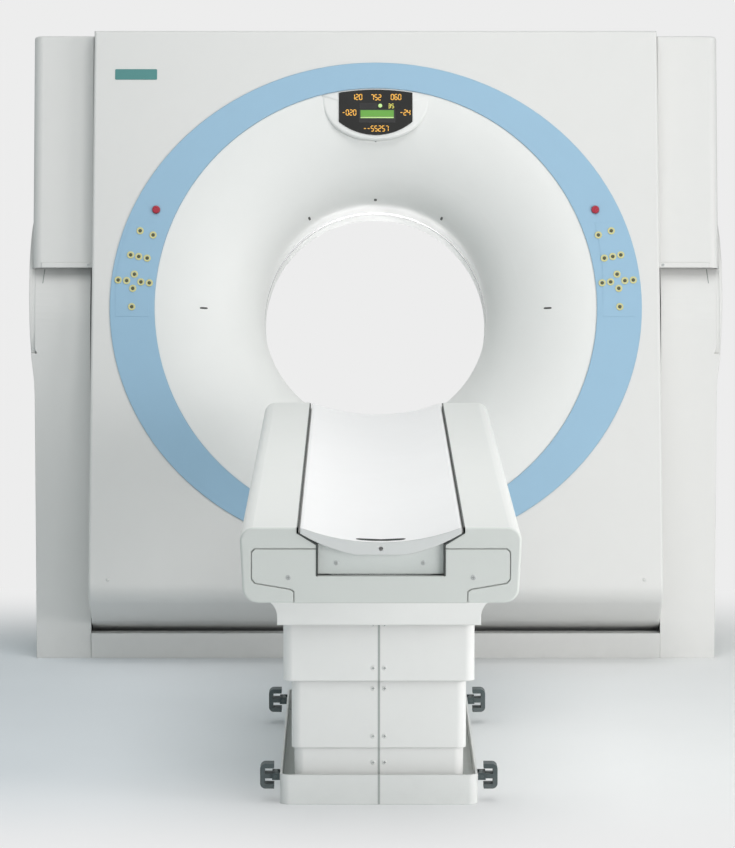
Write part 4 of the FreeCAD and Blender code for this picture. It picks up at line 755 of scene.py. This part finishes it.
# %% Patches of the funnel's wall
THROAT_RADIUS, THROAT_Y, THROAT_ARC, THROAT_SWING = 0.350, -0.150, 0.22242, 0.97301
MOUTH_RADIUS, MOUTH_Y, MOUTH_ARC, MOUTH_SWING = 0.682, COVER_FACE, 0.39994, 0.62733
DEEP_ROUND, OUTER_ROUND, LOZENGE_POWER = 0.40, 0.55, 0.6


def funnel_wall(turn, share, out):
    """Point of the wall: share 0-1 runs along the throat's arc and 1-2 along the mouth's; out moves it into the air."""
    throat = np.clip(share, 0.0, 1.0) * THROAT_SWING
    mouth = (2.0 - np.clip(share, 1.0, 2.0)) * MOUTH_SWING
    deep = share < 1.0
    radius = np.where(deep, THROAT_RADIUS + THROAT_ARC * (1 - np.cos(throat)) - out * np.cos(throat),
                      MOUTH_RADIUS - MOUTH_ARC * np.sin(mouth) - out * np.sin(mouth))
    y = np.where(deep, THROAT_Y - THROAT_ARC * np.sin(throat) - out * np.sin(throat),
                 MOUTH_Y + MOUTH_ARC * (1 - np.cos(mouth)) - out * np.cos(mouth))
    return lean(np.stack([radius * np.cos(turn), y, radius * np.sin(turn)], axis=-1))


def wall_patch(degrees, share, along, across, steps=20):
    """A closed lozenge on the wall: outline along (cos b)^0.6 by (sin b)^0.6, from 1 mm under to 0.4 mm over it."""
    around = np.linspace(0.0, 2 * math.pi, steps, endpoint=False)
    soft_cos, soft_sin = (np.sign(w) * np.abs(w) ** LOZENGE_POWER for w in (np.cos(around), np.sin(around)))
    deep, outer = (THROAT_ARC * THROAT_SWING, DEEP_ROUND), (MOUTH_ARC * MOUTH_SWING, OUTER_ROUND)
    arc_length, radius = deep if share < 1 else outer
    loops = []
    for scale, out in ((1.0, -0.001), (1.0, 0.0003), (0.8, 0.0004)):
        turn = math.radians(degrees) + soft_sin * across / 2 * scale / radius
        loops.append(funnel_wall(turn, share + soft_cos * along / 2 * scale / arc_length, out))
    return loop_stack(loops)


slit_black = painted("slit_black", (58, 60, 58), 0.35, peel=700.0, edge=0.0005, wear=0.0)
marks = [wall_patch(degrees, 1.383, 0.026, 0.006) for degrees in (180.0, 0.0)]
marks += [wall_patch(degrees, 0.377, 0.022, 0.008) for degrees in (124.5, 55.5)]
marks += [wall_patch(90.0, 0.327, 0.016, 0.010), wall_patch(90.0, 1.346, 0.007, 0.005)]
detail_piece("laser_slits", marks, "gantry", slit_black)
print("marks in the funnel:", len(marks))

# %% [markdown]
# The name plate of the machine is left blank: a small enamelled plate with a rolled edge, at the upper left of the
# front cover. It is a rounded oblong, a millimetre thick, in plain teal.

# %% Blank plate
plate_enamel = painted("plate_enamel", (78, 138, 136), 0.32, peel=300.0, edge=0.0012, wear=0.3, worn=(190, 206, 204))
plate = flat_plate((-807, -677, 709, 742), 3.0, COVER_FACE - 1.2 * MM, 1.6 * MM)
blank_plate = detail_piece("blank_plate", [plate], "gantry", plate_enamel)
print("plate:", [round(v, 3) for v in blank_plate.dimensions])

# %% [markdown]
# Covers of such a machine come off for service, so each is held by a few screws with a cross recess, painted or
# plated like the cover. A head is turned: a flat dome with a chamfer. The recess is painted shade: a dark cross of
# two crossed bars let into it, standing in for the shade in the hole, which reads as a hole at this size.

# %% Screws
screw_zinc = bare_metal("screw_zinc", (186, 190, 190), 0.4, (60.0, 900.0, 60.0), edge=0.0006)
# Painted shade: the recesses' grey stands in for the shade inside holes and grooves.
recess_shade_grey = painted("recess_shade_grey", (150, 155, 153), 0.5, peel=700.0, edge=0.0005, wear=0.0)
HEAD_PROUD = 1.2 * MM


def screw_head(centre, radius, leaned):
    """A screw head on a face at centre facing -Y: a low dome, and a cross recess as a dark inlay of painted shade."""
    profile = np.array([(1.0, 0.6), (1.0, -0.55), (0.86, -0.85), (0.5, -1.0), (0.2, -1.0)]) * (radius, HEAD_PROUD)
    arm, slim = radius * 0.56, radius * 0.16
    cross = np.array([(slim, slim), (slim, arm), (-slim, arm), (-slim, slim), (-arm, slim), (-arm, -slim),
                      (-slim, -slim), (-slim, -arm), (slim, -arm), (slim, -slim), (arm, -slim), (arm, slim)])
    head = circle_loops(profile, centre, 24)
    recess = plate_loops(cross + (centre[0], centre[2]), centre[1] - HEAD_PROUD * 1.05, HEAD_PROUD * 0.6, 0.0)
    return [loop_stack(lean(loops) if leaned else loops) for loops in (head, recess)]


def screw_set(name, places, radius, body, finish, leaned=False):
    """Two pieces: the heads of a set of screws, and their recesses."""
    heads, recesses = zip(*(screw_head(place, radius, leaned) for place in places))
    detail_piece(f"{name}_screws", heads, body, finish)
    detail_piece(f"{name}_recesses", recesses, body, recess_shade_grey)


PEDESTAL_SCREWS = (
    ("upper", "lift", "shroud_upper_left", (0.356, 0.470)),
    ("middle", "lift_stage", "shroud_middle_left", (0.299, 0.174)),
    ("collar", "base", "collar_left", (0.104,)),
)
BESIDE_SEAM, PANEL_SCREW, LIP_SCREW = 0.015, (0.218, 0.733), (0.8905, -0.353, 0.138)
for name, body, node, heights in PEDESTAL_SCREWS:
    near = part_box(node)[0].y
    places = [(side * BESIDE_SEAM, near, z) for z in heights for side in (-1, 1)]
    screw_set(name, places, 6.4 * MM, body, shroud_plastic)
panel_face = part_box("end_panel")[0].y
places = [(sign * PANEL_SCREW[0], panel_face, PANEL_SCREW[1]) for _, sign in SIDES]
screw_set("panel", places, 6.2 * MM, "lift", screw_zinc)
places = [(sign * LIP_SCREW[0], *LIP_SCREW[1:]) for _, sign in SIDES]
screw_set("lip", places, 4.5 * MM, "gantry", screw_zinc, leaned=True)
print("face of the end panel:", round(panel_face, 4))

# %% [markdown]
# The display's housing grows out of the funnel's upper wall. The CAD housing hangs a little lower than the real one,
# so a softer one takes its place. Its outline is a few measured points with a smooth line through them, its back
# follows the funnel's wall, and its front edge is rounded in steps.

# %% Housing of the display
def smooth_line(points, steps=6):
    """Catmull-Rom line: between b and c it is half of 2b + (c-a)t + (2a-5b+4c-d)t^2 + (3b-a-3c+d)t^3."""
    given = np.asarray(points, float)
    given = np.concatenate([2 * given[:1] - given[1:2], given, 2 * given[-1:] - given[-2:-1]])
    t = np.linspace(0.0, 1.0, steps, endpoint=False)[None, :, None]
    a, b, c, d = given[:-3, None], given[1:-2, None], given[2:-1, None], given[3:, None]
    line = 0.5 * (2 * b + (c - a) * t + (2 * a - 5 * b + 4 * c - d) * t**2 + (3 * b - a - 3 * c + d) * t**3)
    return np.concatenate([line.reshape(-1, given.shape[1]), given[-2:-1]])


def wall_depth(radius):
    """Y of the funnel's wall at a radius from the bore axis, on the arc next to the mouth."""
    return MOUTH_Y + MOUTH_ARC * (1 - np.cos(np.arcsin(np.clip((MOUTH_RADIUS - radius) / MOUTH_ARC, 0.0, 1.0))))


HOUSING_FACE, HOUSING_EDGE, HOUSING_TOP, HOUSING_PROUD, TOP_EDGE_SHARE = -0.411, 0.009, 0.6814, 0.0012, 0.12
TOP_CORNER = math.atan2(0.6604, 0.168)
measured = np.array([
    (0, 521), (50, 526), (75, 533), (110, 549), (133, 568), (149, 589), (160, 612), (166, 636), (168, 652)]) * MM
right_low = smooth_line(measured)
low_line = np.concatenate([right_low[:0:-1] * (-1, 1), right_low])
top_turn = np.linspace(TOP_CORNER, math.pi - TOP_CORNER, 40)
top_line = HOUSING_TOP * np.stack([np.cos(top_turn), np.sin(top_turn)], axis=1)
housing = np.concatenate([low_line, top_line])
share = np.concatenate([np.ones(len(low_line)), np.full(len(top_line), TOP_EDGE_SHARE)])[:, None]
ahead = np.roll(housing, -1, axis=0) - np.roll(housing, 1, axis=0)
inward = np.stack([-ahead[:, 1], ahead[:, 0]], axis=1) / np.linalg.norm(ahead, axis=1)[:, None] * share
behind_it = wall_depth(np.hypot(*housing.T)) + HOUSING_PROUD
loops = [at_depth(housing, behind_it)]
for turn in np.linspace(0.0, math.pi / 2, 7):
    depth = np.minimum(HOUSING_FACE + HOUSING_EDGE * (1 - math.sin(turn)), behind_it)
    loops.append(at_depth(housing + inward * HOUSING_EDGE * (1 - math.cos(turn)), depth))
housing_part = loop_stack(lean(np.array(loops)))
pod = detail_piece("soft_display_housing", [housing_part], "gantry", funnel_paint, smooth=True)
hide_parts("display_housing")
print("housing:", [round(v, 3) for v in pod.dimensions])

# %% [markdown]
# The stand covers carry the gantry's tilt. Outside the slot for the upper side cover each has a thin wing that rises
# beside it and flares out a little. A copy of the CAD cover is cut at many heights, so that it has points to move,
# and then its outer wall follows one smooth line of width over height, and the wing's round edge moves outwards.

# %% Stand covers with flared wings
SLOT_FLOOR, WING_INSIDE, CAD_OUTSIDE, CAD_TAPER, WALL_FROM, WING_DEPTH = 0.945, 1.065, 1.076, 0.019, 1.04, 0.29
WIDTH_AT = smooth_line([
    (0.0, 1.0535), (0.5, 1.0558), (0.78, 1.0572), (0.86, 1.0592), (0.945, 1.0685), (1.06, 1.0735), (1.2, 1.076),
    (1.4, 1.076)], 8)
WING_GROWTH = 335.0 / 285.0
CUT_HEIGHTS = (0.15, 0.3, 0.45, 0.6, 0.7, 0.76, 0.8, 0.83, 0.86, 0.88, 0.9, 0.92, 0.935, 0.96, 0.98, 1.0, 1.04, 1.08,
               1.12, 1.16, 1.2)
NEARLY = 0.0005


def flared(points, sign):
    """Move points of one cover: the wing's edge grows about the tilt axis, and the outer wall goes to WIDTH_AT."""
    x, y, z = points[:, 0] * sign, points[:, 1].copy(), points[:, 2].copy()
    wing = (x > WING_INSIDE - NEARLY) & (z > SLOT_FLOOR - NEARLY) & (np.abs(y) < WING_DEPTH)
    low = (x > WALL_FROM) & (z < SLOT_FLOOR + NEARLY) & ~wing
    target = np.minimum(np.interp(z, *WIDTH_AT.T), CAD_OUTSIDE)
    cad = CAD_OUTSIDE - CAD_TAPER * np.clip(1 - z / SLOT_FLOOR, 0.0, 1.0)
    x[low] += (target - cad)[low]
    thick = (x - WING_INSIDE) / (CAD_OUTSIDE - WING_INSIDE)
    x[wing] = (WING_INSIDE + thick * (target - WING_INSIDE))[wing]
    y[wing] *= WING_GROWTH
    high = wing & (z > ISO_HEIGHT)
    z[high] = ISO_HEIGHT + (z[high] - ISO_HEIGHT) * WING_GROWTH
    return np.stack([x * sign, y, z], axis=1)


for side, sign in SIDES:
    shell = bmesh.new()
    shell.from_mesh(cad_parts[f"stand_cover_{side}"].data)
    bmesh.ops.remove_doubles(shell, verts=shell.verts, dist=1e-6)
    for height in CUT_HEIGHTS:
        everything = list(shell.verts) + list(shell.edges) + list(shell.faces)
        bmesh.ops.bisect_plane(shell, geom=everything, plane_co=(0, 0, height), plane_no=(0, 0, 1), dist=1e-6)
    made = bpy.data.meshes.new(f"winged_stand_cover_{side}")
    shell.to_mesh(made)
    shell.free()
    spots = np.empty(len(made.vertices) * 3)
    made.vertices.foreach_get("co", spots)
    made.vertices.foreach_set("co", flared(spots.reshape(-1, 3), sign).ravel())
    made.polygons.foreach_set("use_smooth", np.zeros(len(made.polygons), bool))
    made.update()
    cover = linked_object(made)
    cover.data.materials.append(cover_paint)
    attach(cover, "base")
    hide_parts(f"stand_cover_{side}")
    print(cover.name, len(made.polygons), "faces", [round(v, 3) for v in cover.dimensions])

# %% [markdown]
# A short slanted seam shows on each stand cover's round front, where the wing is bonded on; its grey inlay is painted
# shade of the seam's groove. Two lips close the slot beside the wing. A flush plug closes a fixing hole low on each
# side of the front cover. All are thin inlays.

# %% Seams, lips and plugs
def round_strip(x, height, end, radius, section):
    """A section (m, 2) carried along an arc about the tilt axis: y = end x root of (radius^2 - height^2)."""
    ahead = end * np.sqrt(radius**2 - height**2)
    path = np.stack([x + 0.0 * height, ahead, ISO_HEIGHT + height], axis=1)
    out = np.stack([0.0 * height, ahead, height], axis=1) / radius
    section = np.array(section) * MM
    return loop_stack(path[:, None] + section[:, :1] * (1.0, 0.0, 0.0) + out[:, None] * section[:, 1:])


STAND_ROUND, SLOT_LIP_ROUND, SLOT_LIP_X, SEAM_STEPS, LIP_STEPS = 0.335, 0.3325, 1.060, 10, 28
SEAM_HEIGHTS, SEAM_X, LIP_HEIGHTS = (0.150, 0.192), (1.033, 1.028), (-0.065, 0.191)
SEAM_SECTION = ((-1.3, -1.0), (-1.3, 0.2), (-1.0, 0.4), (1.0, 0.4), (1.3, 0.2), (1.3, -1.0))
LIP_SECTION = ((-8.0, -1.8), (-8.0, 1.8), (5.6, 1.8), (5.6, -1.8))
for side, sign in SIDES:
    height = np.linspace(*SEAM_HEIGHTS[::-1], SEAM_STEPS)
    seam = round_strip(sign * np.interp(height, SEAM_HEIGHTS, SEAM_X), height, -1.0, STAND_ROUND, SEAM_SECTION)
    # The seam's grey inlay is painted shade of its groove.
    detail_piece(f"wing_seam_{side}", [seam], "base", recess_shade_grey)
    height = np.linspace(*LIP_HEIGHTS, LIP_STEPS)
    lips = [round_strip(sign * SLOT_LIP_X, height, end, SLOT_LIP_ROUND, LIP_SECTION) for end in (-1.0, 1.0)]
    detail_piece(f"slot_lips_{side}", lips, "base", cover_paint)
PLUG_PLACES = ((-0.822, COVER_FACE, -0.842), (0.822, COVER_FACE, -0.842))
plug_profile = np.array([(5.5, 1.0), (5.5, -0.2), (5.0, -0.5), (1.0, -0.6)]) * MM
plugs = [loop_stack(lean(circle_loops(plug_profile, place, 24))) for place in PLUG_PLACES]
detail_piece("cover_plugs", plugs, "gantry", cover_paint, smooth=True)
print("plugs:", len(plugs))

# %% [markdown]
# A dark rubber edging lines the cradle's channel: along both top edges, and round the cut-out at the table's near
# end. It is painted shade: a lip a few millimetres thick whose dark colour makes the gap beside the cradle read as one
# wide shadow line.

# %% Edging of the channel, painted shade
# Painted shade: this dark finish stands in for the shadow in the gap beside the cradle and in the hand slot.
painted_shade_rubber = painted("painted_shade_rubber", (72, 77, 75), 0.55, peel=600.0, bump=0.3, edge=0.0008, wear=0.15,
                        worn=(120, 124, 122), dust=(0.02, 0.0))
STRIP_NEAR, BAND_FAR, STRIP_FAR = -3.6238, -3.611, -0.905
lip = np.array([(194.4, 838.5), (194.4, 850.6), (195.2, 851.6), (198.3, 851.6), (198.3, 838.5)]) * MM
outer = np.array([(198.3, 851.6), (198.3, 837.9), (152.8, 809.9), (152.8, 736.0)]) * MM
inner = np.array([(194.6, 851.6), (194.6, 839.5), (149.2, 811.6), (149.2, 736.0)]) * MM
strips = []
for _, sign in SIDES:
    mirror = (sign, 1.0)
    strips.append(loop_stack([at_depth(lip * mirror, y) for y in (STRIP_NEAR, STRIP_FAR)]))
    rows = ((outer, STRIP_NEAR), (inner, STRIP_NEAR), (inner, BAND_FAR), (outer, BAND_FAR))
    strips.append(loop_stack(np.stack([at_depth(line * mirror, y) for line, y in rows], axis=1)))
detail_piece("channel_shade_edging", strips, "lift", painted_shade_rubber)
print("strips of edging:", len(strips))

# %% [markdown]
# A panel closes the channel just behind the table's near end, under the cradle, with a small gap under it. Its finish
# is the greyer foot enamel, as painted shade under the cradle's overhang. Its top edge follows the cradle's keel.

# %% Panel under the cradle
KEEL, KEEL_HALF, KEEL_ROUND, KEEL_CENTRE = 0.787, 0.060, 0.400, (-0.01884, 1.17915)
PANEL_HALF, PANEL_LOW, PANEL_FACE, PANEL_THICK, KEEL_GAP = 0.1485, 0.7390, -3.604, 0.004, 0.0025


def keel_line(x):
    """Height of the cradle's underside: flat in the middle, then an arc of KEEL_ROUND about KEEL_CENTRE."""
    arc = KEEL_CENTRE[1] - np.sqrt(KEEL_ROUND**2 - (np.abs(x) - KEEL_CENTRE[0]) ** 2)
    return np.where(np.abs(x) < KEEL_HALF, KEEL, arc)


top_x = np.linspace(PANEL_HALF, -PANEL_HALF, 40)
top_edge = np.stack([top_x, keel_line(top_x) - KEEL_GAP], axis=1)
panel_outline = np.concatenate([[(-PANEL_HALF, PANEL_LOW), (PANEL_HALF, PANEL_LOW)], top_edge])
panel = loop_stack(plate_loops(panel_outline, PANEL_FACE, PANEL_THICK))
# Painted shade: the greyer enamel stands in for the shade under the cradle's overhang.
detail_piece("channel_panel", [panel], "lift", foot_enamel_and_panel_shade)
places = [(x, PANEL_FACE, 0.765) for x in (-0.105, 0.100)]
screw_set("channel", places, 5.8 * MM, "lift", screw_zinc)
print("points of the panel's outline:", len(panel_outline))

# %% [markdown]
# The hand slot in the cradle has a dark liner that follows its dished surface; the liner is painted shade of the deep
# shadow in the slot.

# %% Liner of the hand slot, painted shade
DISH_ROUND, DISH_CENTRE = 0.5239, 1.3409
HAND_Y, HAND_HALF, HAND_ROUND = -3.590, 0.045, 0.011
LINER_PROFILE = ((3.0, -0.4), (2.7, 0.4), (2.2, 0.7), (-0.4, 0.7), (-1.0, 0.2), (-1.0, -20.0), (0.2, -20.0))


def hand_loop(wider, above, steps=28):
    """Stadium about the hand slot, wider by an offset, on the dished surface plus a height."""
    turn = np.linspace(0.0, 2 * math.pi, steps, endpoint=False)
    radius = HAND_ROUND + wider
    x = HAND_HALF * np.sign(np.round(np.cos(turn), 6)) + radius * np.cos(turn)
    y = HAND_Y + radius * np.sin(turn)
    return np.stack([x, y, DISH_CENTRE - np.sqrt(DISH_ROUND**2 - x**2) + above], axis=1)


liner = loop_stack([hand_loop(wide * MM, up * MM) for wide, up in LINER_PROFILE], ring=True)
detail_piece("hand_slot_shade_liner", [liner], "cradle", painted_shade_rubber, smooth=True)
print("liner points:", len(liner[0]))

# %% [markdown]
# The pedestal's shrouds are made in two halves. A soft grey profile on the seam between them is painted shade: it
# widens the seam's dark line. It is a strip on each tier's near face, so it moves with that tier.

# %% Seam profiles of the pedestal
# Painted shade: the profile's grey stands in for the shade in the seam.
seam_grey = painted("seam_grey", (178, 182, 180), 0.6, peel=500.0, edge=0.0004, wear=0.0, dust=(0.0, 0.1))
seam_section = np.array([(-3.0, 1.0), (-3.0, -0.1), (-2.6, -0.35), (2.6, -0.35), (3.0, -0.1), (3.0, 1.0)]) * MM
SEAM_SHORT = 0.6 * MM
TIERS = {
    "shroud_upper_left": "lift", "shroud_middle_left": "lift_stage", "collar_left": "base", "foot_cover_left": "base",
}
for name, body in TIERS.items():
    low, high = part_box(name)
    ends = (low.z + SEAM_SHORT, high.z - SEAM_SHORT)
    profile = loop_stack([[(x, low.y + y, z) for x, y in seam_section] for z in ends])
    detail_piece(name.replace("_left", "_seam"), [profile], body, seam_grey)
print("seam profiles:", len(TIERS))
